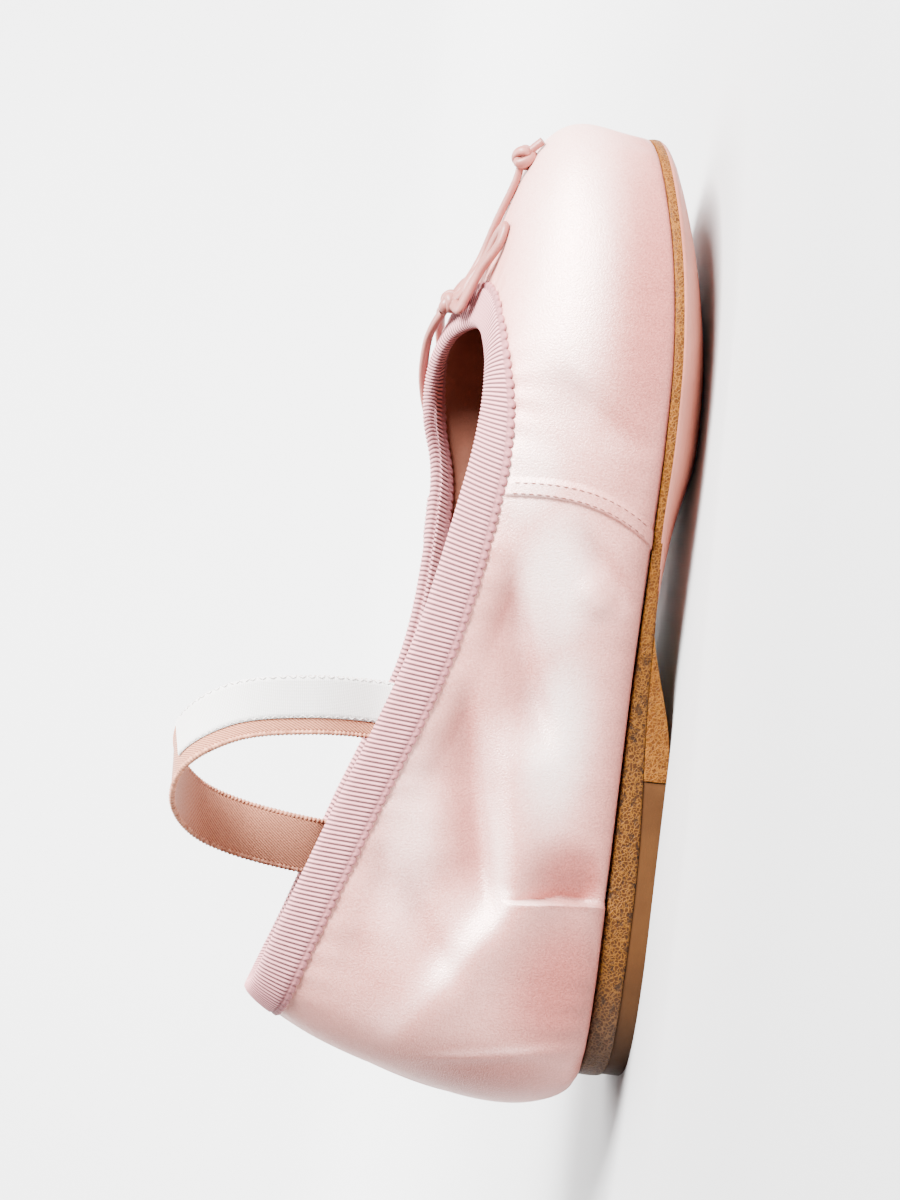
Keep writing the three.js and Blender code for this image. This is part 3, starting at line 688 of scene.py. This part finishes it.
# Creases: side, kind, reach on either side, depth, and a line of (x, z). A line runs to the heel or up, so
# its first side is towards the collar and the toe. A fold starts at the sole. A trough's first side is steep.
CREASES = [
    ("lateral", "fold", (8, 6), 4, [(52, 10), (51.8, 22), (50.4, 37)]),
    ("lateral", "soft", (1.2, 1.6), 0.5, [(18.6, 7), (13.5, 34), (10.4, 58)]),
    ("lateral", "trough", (9.5, 4), -4.2, [(137, 47.5), (109, 38), (83, 28.6)]),
    ("lateral", "trough", (8.5, 3.8), -4.4, [(108, 54.5), (74.5, 45.5), (39, 38)]),
    ("lateral", "soft", (4.5, 8), 2.3, [(104, 41), (74, 36.5), (53, 32), (34, 43.5), (8, 61.5)]),
    ("lateral", "soft", (4.5, 3.5), -1.5, [(58, 63), (42, 54), (26, 43)]),
    ("lateral", "soft", (4.5, 3.5), -1.2, [(72, 72), (55, 66), (40, 60)]),
    ("lateral", "soft", (6, 4.5), -1.1, [(48, 74), (29, 66), (12, 56)]),
    ("lateral", "soft", (3.8, 2.4), -1.4, [(144, 31), (131, 21), (118, 10)]),
    ("lateral", "soft", (3, 5), 1, [(129, 28), (124, 23), (119, 19)]),
    ("lateral", "soft", (6, 3.5), -1.3, [(179, 43), (168, 29), (157, 14)]),
    ("lateral", "soft", (5, 7), 1, [(80, 57), (64, 55), (50, 52)]),
    ("medial", "fold", (6, 6), 2, [(176, 9), (177, 19), (180, 30)]),
    ("medial", "fold", (5.5, 5.5), 1.8, [(208, 12), (206, 22), (203, 32)]),
    ("medial", "fold", (5.5, 5.5), 1.6, [(60, 10), (59, 20), (56, 34)]),
    ("medial", "soft", (8, 5), -2.2, [(122, 22), (108, 36), (96, 52)]),
    ("medial", "soft", (8, 5), -2, [(92, 22), (78, 40), (60, 58)]),
    ("medial", "soft", (7, 5), -1.6, [(50, 30), (36, 46), (24, 60)]),
    ("medial", "soft", (6, 6), 1.3, [(104, 24), (92, 40), (78, 56)]),
]

# Patches of painted shade on sunk places, and of painted highlight on full ones: side, x, z, reach along,
# reach up, strength
PAINTED_SHADE_PATCHES = [
    ("lateral", 31, 18, 22, 18, 1), ("lateral", 58, 20, 10, 13, 1), ("both", 7, 30, 10, 26, 0.8),
    ("lateral", 110, 36, 16, 6, 0.3), ("lateral", 73, 45, 22, 5, 0.35), ("both", 195, 16, 58, 13, 0.95),
    ("medial", 30, 28, 18, 16, 0.4), ("medial", 100, 36, 26, 12, 0.3), ("medial", 184, 20, 8, 10, 0.5),
]
PAINTED_HIGHLIGHT_PATCHES = [
    ("lateral", 126, 33, 17, 9, 0.85), ("lateral", 152, 42, 14, 8, 0.6), ("lateral", 90, 28, 20, 8, 1),
    ("lateral", 62, 60, 22, 7, 0.4), ("both", 205, 37, 46, 11, 0.6),
]


def run_at(around):
    return np.interp(around, PERIMETER, WALL_RUN)


def around_at(run):
    return np.interp(run, WALL_RUN, PERIMETER)


def patches(table, points, lateral):
    """The strongest of a table's soft patches at each point."""
    x, z = points[..., 0], points[..., 2]
    shade = np.zeros_like(x)
    for side, at, high, along, tall, strength in table:
        patch = strength * np.exp(-((((x - at) / along) ** 2 + ((z - high) / tall) ** 2) ** 1.6))
        here = side == "both" or lateral == (side == "lateral")
        shade = np.maximum(shade, np.where(here, patch, 0))
    return shade


def crease_lift(points, lateral, facing):
    """How far the creases move each point of the satin out or in."""
    x, z = points[..., 0], points[..., 2]
    lift = np.zeros_like(x)
    for side, kind, (front_reach, back_reach), height, line in CREASES:
        line = np.array(line, float)
        starts = lengths(line)
        best, share, ahead_of = np.full(x.shape, 1e9), np.zeros_like(x), np.zeros_like(x)
        for k, (a, b) in enumerate(zip(line[:-1], line[1:])):
            d, dx, dz = b - a, x - a[0], z - a[1]
            held = np.clip((dx * d[0] + dz * d[1]) / (d @ d), 0, 1)
            far = np.hypot(dx - held * d[0], dz - held * d[1])
            nearer = far < best
            best = np.where(nearer, far, best)
            share = np.where(nearer, mix(starts[k], starts[k + 1], held) / starts[-1], share)
            ahead_of = np.where(nearer, np.sign(dx * d[1] - dz * d[0]), ahead_of)
        if kind == "fold":
            signed = best * ahead_of
            front = -np.exp(-np.maximum(signed, 0) / front_reach) * smooth((signed + 0.35) / 0.9)
            back = 0.35 * np.exp(np.minimum(signed, 0) / back_reach) * smooth((0.35 - signed) / 0.9)
            move = height * (front + back) * smooth((1 - share) / 0.4)
        else:
            fall = np.exp(-((best / np.where(ahead_of > 0, front_reach, back_reach)) ** 2))
            fade = 0.4
            if kind == "trough":
                steep = np.exp(-(((np.hypot(best, 0.8) - 0.8) / front_reach) ** 1.15))
                fall, fade = np.where(ahead_of > 0, steep, fall), 0.3
            move = height * fall * smooth(share / 0.45) * smooth((1 - share) / fade)
        lift += np.where(lateral == (side == "lateral"), move, 0) * facing
    return lift


def creased_wall(around, below):
    """Points of the upper's outer face, which of them are lateral, and how far the creases move them."""
    points = on_upper(around, below)
    lateral = (around < 0.5)[:, None] & np.ones_like(below, bool)
    facing = smooth(np.abs(outward(around)[:, 1:2]) / 0.55)
    return points, lateral, crease_lift(points, lateral, facing) * smooth((below - 9) / 10)


def gathers(run, above_sole, below, around):
    """Small puckers: at the sole, strongest round the heel and toe, and under the ribbon."""
    heel = np.exp(-((np.minimum(around, 1 - around) / 0.1) ** 2))
    toe = np.exp(-(((around - 0.5) / 0.1) ** 2))
    beat = np.sin(run * 0.86 + 1.7 * np.sin(run * 0.19))
    beat = beat + 0.6 * np.sin(run * 0.53 + 2.1 * np.sin(run * 0.11 + 1))
    low = (0.08 + 0.22 * heel + 0.2 * toe) * beat * np.exp(-above_sole / 9) * smooth(above_sole / 4)
    ripple = np.sin(run * 0.71 + 1.9 * np.sin(run * 0.13 + 2))
    high = 0.16 * ripple * np.exp(-np.maximum(below - 10, 0) / 6)
    broad = np.sin(run * 0.105 + 0.05 * above_sole) * np.sin(above_sole * 0.075 + 1.2 * np.sin(run * 0.05))
    return low + high + 0.45 * broad * smooth(above_sole / 20) * smooth((below - 8) / 12)


def seam_bow(share):
    return SEAM_BOW * np.sin(math.pi * np.clip(share, 0, 1) ** 0.8)


def lap(run_from_seam, below):
    """Lapped seam: the rear panel's folded edge over the front one."""
    rise = 0.6 * smooth((run_from_seam + 2.1) / 0.5) * (1 - 0.85 * smooth((run_from_seam - 1.2) / 1.6))
    return rise * smooth((below - 10) / 1.5)


# Columns: even ones, and finer ones at the seams, the heel's fold and its rear crease
half_way = len(PERIMETER) // 2 + 1
side_x = on_upper(PERIMETER[:half_way], [20.0])[:, 0, 0]
finer = [run_at(seam) + np.arange(-4, 12.1, 0.35) for seam in SEAMS]
for fold_x, reach, step in ((51.3, 3, 0.3), (15, 8, 0.5)):
    finer.append(np.interp(fold_x, side_x, WALL_RUN[:half_way]) + np.arange(-reach, reach + 0.1, step))
even = np.linspace(0, 1, SATIN_COLUMNS, endpoint=False)
around = np.unique(np.concatenate([even, around_at(np.concatenate(finer))]).round(6))
run, length, out = run_at(around), rib_length(around)[:, None], outward(around)
below = mix(SATIN_TOP, length, np.linspace(0, 1, SATIN_ROWS))
above_sole = length - below
surface, lateral, creased = creased_wall(around, below)
creased = creased * (0.08 + 0.92 * smooth(above_sole / 7))
moved = creased + gathers(run[:, None], above_sole, below, around[:, None])
seam_shade = np.zeros_like(moved)
for seam in SEAMS:
    from_seam = run[:, None] - run_at(seam)
    from_seam = (from_seam if seam < 0.5 else -from_seam) - seam_bow(above_sole / length)
    moved = moved + lap(from_seam, below)
    groove = 0.75 * np.exp(-(((from_seam + 2.2) / 0.4) ** 2)) * smooth((below - 10) / 1.5)
    seam_shade = np.maximum(seam_shade, groove)
roll = -0.45 * np.exp(-above_sole / 0.9)
outer = surface + face_normal(around, below) * (moved + roll)[..., None]
outer[..., 2] = np.maximum(outer[..., 2], surface[:, -1:, 2])
under = laid(outer[:, -1] - out * MARGIN, sole_top, 0.1)
points = np.concatenate([outer, under[:, None]], axis=1)
faces, where = grid(len(around), points.shape[1], closed=True, flip=True)
uv = grid_uv(where, np.append(run, WALL_RUN[-1]), np.concatenate([below, length + MARGIN], axis=1))

# Marks for the satin's finish, carried on to the margin under the wall: painted shade and painted highlight
# Slopes of the creases turned from the key light, which comes from the toe and from above, get painted shade;
# slopes turned to it get painted highlight
toeward = np.gradient(creased, run, axis=0) * np.where(lateral, 1, -1)
upward = -np.gradient(creased, axis=1) / np.gradient(below, axis=1)
turned_from_light = 0.75 * toeward + 0.65 * upward
# Painted shade: trough bottoms, slopes turned from the light, the shade patches and a band along the sole
painted_shade = 0.5 * np.clip(-creased / 2.8, 0, 1) + 0.4 * np.clip(turned_from_light / 0.35, 0, 1)
painted_shade = np.maximum(painted_shade, patches(PAINTED_SHADE_PATCHES, surface, lateral))
painted_shade = np.maximum(painted_shade, 0.95 * np.exp(-((above_sole / 8) ** 1.5)))
# Painted highlight: slopes turned to the light and the highlight patches
painted_highlight = np.maximum(np.clip(-turned_from_light / 0.5, 0, 1) * 0.7, patches(PAINTED_HIGHLIGHT_PATCHES, surface, lateral))
# Painted shade on the satin's bottom edge by the sole, strongest along the quarter
quarter = smooth((165 - surface[..., 0]) / 30)
painted_edge_shade = np.maximum(0.25 * np.exp(-above_sole / 1.0), 0.58 * quarter * np.exp(-above_sole / 5))
marks = {"painted_shade": painted_shade, "painted_highlight": painted_highlight, "painted_edge_shade": np.maximum(painted_edge_shade, seam_shade)}
marks = {mark: np.concatenate([values, values[:, -1:]], axis=1) for mark, values in marks.items()}
add_piece("satin_upper", points, faces, [SATIN], ["upper"], uv, marks)

# Lining: the inner face of the same wall
inside = np.linspace(0, 1, LINING_COLUMNS, endpoint=False)
below = mix(LINING_TOP, rib_length(inside)[:, None] - LINING_FOOT, np.linspace(0, 1, LINING_ROWS))
inner, _, lift = creased_wall(inside, below)
inner = inner + face_normal(inside, below) * (np.minimum(lift, 0) - WALL)[..., None]
faces, _ = grid(LINING_COLUMNS, LINING_ROWS, closed=True)
add_piece("upper_lining", inner, faces, [LINING], ["upper"])

# Seam stitches: short threads laid on the satin
STITCH_SIDES, STITCH_RINGS, STITCH_STEP = 6, 5, 1.9


def add_stitches(name, lines, long, thick, finish, nodes):
    """Short threads in lines, each given by their middles, runs and faces."""
    turn = full_turn(STITCH_SIDES)[:, None]
    reach = np.linspace(-1, 1, STITCH_RINGS)
    size = np.sqrt(np.maximum(1 - reach**2, 0.02)) * thick / 2
    middles, runs, faces_up = (np.concatenate(v)[:, None, None] for v in zip(*lines))
    rings = middles + runs * (reach * long / 2)[:, None]
    rings = rings + np.cross(runs, faces_up) * (np.cos(turn) * size)[..., None]
    rings = rings + faces_up * (np.sin(turn) * size)[..., None]
    one = grid(STITCH_SIDES, STITCH_RINGS, closed=True)[0].tolist() + end_caps(STITCH_SIDES, STITCH_RINGS)
    starts = np.arange(len(middles)) * STITCH_SIDES * STITCH_RINGS
    add_piece(name, rings, [[v + k for v in face] for k in starts for face in one], [finish], nodes)


stitches = []
for seam in SEAMS:
    direction = 1 if seam < 0.5 else -1
    long_rib = rib_length(seam)[0]
    rows = np.arange(12.0, long_rib - 1.5, 0.1)
    for offset, height in ((-1.35, 0.66), (1.25, 0.64)):
        bow = seam_bow((long_rib - rows) / long_rib) + offset
        places = around_at(run_at(seam) + direction * bow)
        line, up_there = (pair(f, list(zip(places, rows))) for f in (on_upper, face_normal))
        line_run = lengths(line)
        lift = crease_lift(line, np.full(len(line), seam < 0.5), 1.0)
        lift = lift + gathers(run_at(places), long_rib - rows, rows, places)
        line = line + up_there * (lift + height + 0.05)[:, None]
        picks = np.searchsorted(line_run, np.arange(1, line_run[-1] - 1, STITCH_STEP))
        runs = unit(line[np.minimum(picks + 4, len(line) - 1)] - line[np.maximum(picks - 4, 0)])
        stitches.append((line[picks], runs, square_to(up_there[picks], runs)))
add_stitches("seam_stitches", stitches, 1.35, 0.34, THREAD, ["upper"])

# Ribbon binding: ribs across it, a scallop for every two ribs along both edges
RIB_COUNT, PER_RIB = 368, 6
BASE_FROM, BASE_STEP, BASE_ROWS = -1.5, 0.5, 26
JOIN_AT, JOIN_LONG = 0.752, 13
# Rows of a side: below the collar, scallop share, height off the face, rib share
OUTSIDE = [
    (9.6, 0.85, 0.1, 0), (9.6, 0.85, 0.45, 0.1), (9.35, 0.7, 0.76, 0.25), (9, 0.3, 0.76, 0.3),
    (8.7, 0, 0.56, 0.3), (8.3, 0, 0.66, 1), (7.2, 0, 0.7, 1), (5.8, 0, 0.7, 1),
    (4.2, 0, 0.7, 1), (2.6, 0, 0.7, 1), (1.2, 0, 0.7, 1), (0.2, 0, 0.68, 1),
]
INSIDE = [
    (0.2, 0, 0.68, 1), (1, 0, 0.7, 1), (2.2, 0, 0.7, 1), (3.6, 0, 0.7, 1),
    (4.6, 0, 0.6, 0.3), (5.1, 0.5, 0.75, 0.2), (5.4, 0.7, 0.45, 0), (5.4, 0.7, 0.05, 0),
]
# Rows over the top: below the collar, off the outer face
TOP = [(-0.55, 0.35), (-0.92, -0.3), (-1.02, -0.8), (-0.92, -1.3), (-0.55, -1.95)]
collar_run = lengths(on_upper(PERIMETER, [5.0])[:, 0])
columns = np.arange(RIB_COUNT * PER_RIB)
at_run = collar_run[-1] * columns / len(columns)
ribbon_around = np.interp(at_run, collar_run, PERIMETER)
phase = columns / PER_RIB
rib_up = np.abs(np.sin(math.pi * phase)) ** 0.6
scallop = np.abs(np.sin(math.pi * phase / 2)) ** 0.55
join = np.interp(JOIN_AT, PERIMETER, collar_run)
overlap = 0.5 * smooth((at_run - join) / 0.8) * smooth((join + JOIN_LONG - at_run) / 4)
# The ribbon's painted shade: rib heights in the ribbed rows, a tone by the scallop on the outer edge, a fixed
# tone inside
belows, offs, painted_rib_shades = [], [], []
for below_edge, waved, height, ribbed in OUTSIDE:
    belows.append(below_edge + waved * scallop)
    offs.append(height + 0.34 * ribbed * rib_up + overlap)
    painted_rib_shades.append(0.5 + 0.22 * scallop if ribbed < 1 else rib_up)
for below_edge, off in TOP:
    belows.append(below_edge - 0.2 * rib_up)
    offs.append(np.full(len(columns), off))
    painted_rib_shades.append(rib_up)
for below_edge, waved, height, ribbed in INSIDE:
    belows.append(below_edge + waved * scallop)
    offs.append(-WALL - height - 0.3 * ribbed * rib_up)
    painted_rib_shades.append(np.full(len(columns), 0.62) if ribbed < 1 else rib_up)
belows, offs, painted_rib_shades = (np.stack(v, axis=1) for v in (belows, offs, painted_rib_shades))
base = BASE_FROM + BASE_STEP * np.arange(BASE_ROWS)
place = np.clip((belows - BASE_FROM) / BASE_STEP, 0, BASE_ROWS - 1.001)
low = place.astype(int)
part = (place - low)[..., None]
line = columns[:, None]
ribbon, normal = (
    mix(values[line, low], values[line, low + 1], part)
    for values in (on_upper(ribbon_around, base), face_normal(ribbon_around, base))
)
ribbon = ribbon + unit(normal) * offs[..., None]
faces, where = grid(len(columns), belows.shape[1], closed=True)
uv = grid_uv(where, np.append(at_run, collar_run[-1]), lengths(ribbon, axis=1))
add_piece("ribbon_binding", ribbon, faces, [RIBBON_CLOTH], ["topline_binding"], uv, {"rise": painted_rib_shades})

# Leather sole: a rounded edge all round, then the pink bottom to the middle
SOLE_COLUMNS, MIDDLE_INSET, CENTRE_STEPS = 420, 14, 8
sole_around = np.linspace(0, 1, SOLE_COLUMNS, endpoint=False)
edge_line, edge_out = feather(sole_around), outward(sole_around)
thick = depth(np.minimum(sole_around, 1 - sole_around))[:, 1]
middle_ends = SOLE_ROWS[0][0] * LENGTH + MIDDLE_INSET, SOLE_ROWS[-1][0] * LENGTH - MIDDLE_INSET
section = section_at(np.clip(edge_line[:, 0], *middle_ends))
centre_line = (feather(section) + feather(1 - section)) / 2


def inset_row(inset, height, off=0):
    return laid(edge_line - edge_out * inset, height, off)


def rows_to_centre(row, height, off=0):
    shares = np.linspace(0, 1, CENTRE_STEPS + 1)[1:]
    return [laid(mix(row, centre_line, share), height, off) for share in shares]


# Rows of the edge: inset, and drop as a share of the thickness
EDGE_ROWS = [
    (0.7, 0), (0.25, 0.02), (0.05, 0.1), (-0.05, 0.3), (-0.1, 0.5), (-0.05, 0.72), (0.02, 0.88), (0.2, 0.97),
]
rows = [inset_row(6.0, sole_top)]
for inset, drop in EDGE_ROWS:
    rows.append(edge_line - edge_out * inset - np.outer(drop * thick, (0, 0, 1)))
rows += [inset_row(inset, sole_bottom) for inset in (0.6, 1.6, 4.0, 8.0)]
rows += rows_to_centre(rows[-1], sole_bottom)
sole = np.stack(rows, axis=1)
sole[..., 2] = np.maximum(sole[..., 2], 0)
faces, where = grid(SOLE_COLUMNS, sole.shape[1], closed=True, flip=True)
heelward = 1 - smooth((sole[..., 0] / LENGTH - 0.4) / 0.14)
# painted shade: the sole's edge greyer towards the back of the heel
sole_back_shade = (1 - smooth((sole[..., 0] - 14) / 26)) * 0.85
face_along = sole.reshape(-1, 3)[faces[:, 0], 0] / LENGTH
edge_rows = np.interp(face_along, [0.43, 0.46, 0.6], [99, 12, 6])
finish_of = np.where(where[:, :, 1].max(axis=1) > edge_rows, 1, 0)
add_piece("leather_sole", sole, faces, [EDGE, SOLE_PINK], ["outsole"],
          marks={"rough": 0.25 + 0.75 * heelward, "painted_back_shade": sole_back_shade}, face_finish=finish_of)

# Heel layers: blocks on the heel's outline with softened edges
LAYER_COLUMNS, LAYER_ROWS, LAYER_LEVELS = 60, 21, 5
SOFTENING = {
    "WELD": {"merge_threshold": 0.00002},
    "BEVEL": {"width": 0.0004, "segments": 3, "limit_method": "ANGLE", "angle_limit": math.radians(50)},
}


def add_layer(name, start, end, inset, top_at, bottom_at, finish, nodes, marks):
    sections = section_at(np.linspace(start, end, LAYER_COLUMNS))
    from_back = start <= SECTION_X[0]
    if from_back:
        sections = mix(0, sections[-1], np.linspace(0, 1, LAYER_COLUMNS) ** 1.3)
    near, far = (feather(s) - outward(s) * inset for s in (sections, 1 - sections))
    top = mix(near[:, None], far[:, None], np.linspace(0, 1, LAYER_ROWS)[:, None])
    bottom = laid(top.copy(), bottom_at)
    laid(top, top_at)
    bottom[..., 2] = np.minimum(bottom[..., 2], top[..., 2] - 0.05)
    columns, rows = range(LAYER_COLUMNS), range(LAYER_ROWS)
    ring = [(i, 0) for i in columns] + [(columns[-1], j) for j in rows[1:]]
    ring += [(i, rows[-1]) for i in columns[-2::-1]]
    ring += [] if from_back else [(0, j) for j in rows[-2:0:-1]]
    i, j = np.array(ring).T
    levels = np.linspace(0, 1, LAYER_LEVELS)[:, None]
    side_wall = mix(top[i, j][:, None], bottom[i, j][:, None], levels)
    points = np.concatenate([v.reshape(-1, 3) for v in (top, bottom, side_wall)])
    count = LAYER_COLUMNS * LAYER_ROWS
    up_faces, _ = grid(LAYER_COLUMNS, LAYER_ROWS)
    down_faces, _ = grid(LAYER_COLUMNS, LAYER_ROWS, flip=True)
    side_faces, _ = grid(len(ring), LAYER_LEVELS, closed=True, flip=True)
    faces = np.concatenate([up_faces, down_faces + count, side_faces + 2 * count])
    marks = {mark: values(points) for mark, values in marks.items()}
    piece = add_piece(name, points, faces, [finish], nodes, marks=marks)
    for kind, settings in SOFTENING.items():
        modifier = piece.modifiers.new(kind.lower(), kind)
        for key, value in settings.items():
            setattr(modifier, key, value)


def breast_curve(x, y):
    return BREAST_RISE * smooth((x / LENGTH - BREAST_FROM) / (BREAST_TO - BREAST_FROM))


# painted shade: the rubber lift greyer towards the back of the heel
heel_back_shade_marks = {"painted_back_shade": lambda p: (1 - smooth((p[:, 0] - 14) / 30)) * 0.7}
add_layer("rubber_lift", 0, LIFT_END * LENGTH, HEEL_INSET, lambda x, y: sole_bottom(x, y) - 0.08,
          lambda x, y: np.zeros_like(x), RUBBER, ["heel_lift"], heel_back_shade_marks)
add_layer("leather_breast", LIFT_END * LENGTH + GAP, BREAST_END * LENGTH, HEEL_INSET - 0.3,
          lambda x, y: sole_bottom(x, y) - 0.02, breast_curve, EDGE, ["heel_breast"],
          {"rough": lambda p: np.full(len(p), 0.15), "painted_back_shade": lambda p: np.zeros(len(p))})

# Sock: the insole with a rounded rim, given by rows of: inside the wall, sunk
SOCK_RIM = [(0.5, 1.2), (0.6, 0.3), (1.1, 0.03), (2.5, 0), (8, 0)]
SOCK_RISE = 3 * GAP + WALL + INSOLE
rows = [inset_row(WALL + inset, sole_top, SOCK_RISE - sunk) for inset, sunk in SOCK_RIM]
rows += rows_to_centre(rows[-1], sole_top, SOCK_RISE)
faces, _ = grid(SOLE_COLUMNS, len(rows), closed=True)
add_piece("sock", np.stack(rows, axis=1), faces, [SOCK], ["insole"])

# Elastic strap with roped edges
STRAP_AT, STRAP_STEPS, ROPE_STEPS = (0.1815, 0.8685), 260, 900
ROPE_HALF, ROPE_PITCH = 0.62, 1.05
ARCH_CENTRE = (0, 0, 84)
arch = np.array([
    (91.5, -21.8, 86), (88, -18.6, 103), (79.5, -8.5, 114), (70, 3, 115), (62.5, 13, 108.5), (58.5, 17.6, 98),
])
arch_normal = unit((arch - ARCH_CENTRE) * (0, 1, 1))
strap_off = np.array([[WALL + 0.7], [WALL + 3.0], [WALL + RIBBON_GAP + RIBBON + 1.4]])
tuck = np.array([[STRAP_TUCK, STRAP_TUCK / 2, -3.0]])
end_normals = [face_normal([a], np.maximum(tuck, STRAP_TUCK / 2))[0] for a in STRAP_AT]
ends = [on_upper([a], tuck)[0] - normals * strap_off for a, normals in zip(STRAP_AT, end_normals)]
strap_path = open_spline(np.vstack([ends[0], arch, ends[1][::-1]]))
strap_facing = open_spline(np.vstack([end_normals[0], arch_normal, end_normals[1][::-1]]))
frames = frames_on(strap_path, strap_facing, np.linspace(0, 1, STRAP_STEPS))
band = flat_band(STRAP_WIDTH / 2 - 0.45, -0.5, 0.5, 13)
add_tube("elastic_strap", frames, band, ELASTIC, ["instep_strap"])
middle, run_dir, face, side = frames_on(strap_path, strap_facing, np.linspace(0, 1, ROPE_STEPS))
along = lengths(middle)[:, None] * 2 * math.pi / ROPE_PITCH
turn = full_turn(10)
for name, sign in (("strap_edge_front", 1), ("strap_edge_back", -1)):
    twist = 1 + 0.2 * np.cos(along - sign * turn)
    rope = np.stack([ROPE_HALF * twist * np.cos(turn), 0.72 * twist * np.sin(turn)], axis=2)
    edge = middle + side * sign * (STRAP_WIDTH / 2 - ROPE_HALF)
    add_tube(name, (edge, run_dir, face, side), rope, ELASTIC_EDGE, ["instep_strap"])

# Blank woven label on the strap, with its stitches
LABEL_STEPS, LABEL_NEAR, LABEL_FAR = 90, 0.46, 0.82
share = np.linspace(LABEL_FROM, LABEL_TO, LABEL_STEPS)
middle, run_dir, face, side = frames_on(strap_path, strap_facing, share)
middle = middle + side * LABEL_SHIFT
steps = np.arange(LABEL_STEPS)
hem = 0.22 * np.exp(-((np.minimum(steps, steps[::-1]) / 3.0) ** 2))
tape = np.repeat(flat_band(LABEL_WIDTH / 2, LABEL_NEAR, LABEL_FAR, 9)[None], LABEL_STEPS, axis=0)
tape[..., 1] += np.where(tape[..., 1] > LABEL_NEAR, hem[:, None], 0)
add_tube("label_tape", (middle, run_dir, face, side), tape, TAPE, ["strap_label"])
label_run = lengths(middle)
picks = np.interp(np.arange(0.8, label_run[-1] - 0.6, 1.1), label_run, steps).astype(int)
slants = np.where(np.arange(len(picks)) % 2, 0.55, -0.55)[:, None]
middle, run_dir, face, side = (v[picks] for v in (middle, run_dir, face, side))
stitches = []
for sign in (1, -1):
    edge = middle + side * sign * (LABEL_WIDTH / 2 - 0.35) + face * 0.84
    stitches.append((edge, unit(run_dir + side * slants * sign), face))
add_stitches("label_stitches", stitches, 1.25, 0.3, LABEL_THREAD, ["strap_label"])

# Floor and soft studio light
FLOOR_HALF, FLOOR_BEND = 3.0, 0.9
turn = np.linspace(0, math.pi / 2, 24)
bend = zip(FLOOR_BEND * (1 + np.sin(turn)), FLOOR_BEND * (1 - np.cos(turn)))
sweep = [(-FLOOR_HALF, 0.0), *bend, (2 * FLOOR_BEND, 3.0)]
corners = [(x, y, z) for x in (-FLOOR_HALF, FLOOR_HALF) for y, z in sweep]
paper = Finish("paper", Roughness=0.9, Specular_IOR_Level=0.1)
greys = [(0.3, (0.5, 0.5, 0.5, 1)), (0.7, (0.52, 0.52, 0.52, 1))]
paper.give("Base Color", paper.ramp(paper.noise(paper.coords(), 3, 2), greys))
floor = smooth_mesh("floor", corners, grid(2, len(sweep))[0].tolist(), [paper.material])
linked("floor", floor)


def add_light(name, place, aim, size, energy):
    data = bpy.data.lights.new(name, "AREA")
    data.shape, data.size, data.energy = "SQUARE", size, energy
    light = linked(name, data)
    light.location = place
    light.rotation_euler = (Vector(aim) - Vector(place)).to_track_quat("-Z", "Y").to_euler()


add_light("key", (0.95, -0.68, 1.1), (0, 0, 0.04), 0.8, 240)
add_light("top", (0.2, 0.1, 1.4), (0, 0, 0.04), 1.0, 14)
add_light("back", (0, 0.45, 1.1), (0, 1.7, 0.4), 0.8, 150)
world = bpy.data.worlds.new("studio")
bpy.context.scene.world = world
world.use_nodes = True
background = world.node_tree.nodes["Background"]
background.inputs["Color"].default_value = WHITE
background.inputs["Strength"].default_value = 0.15
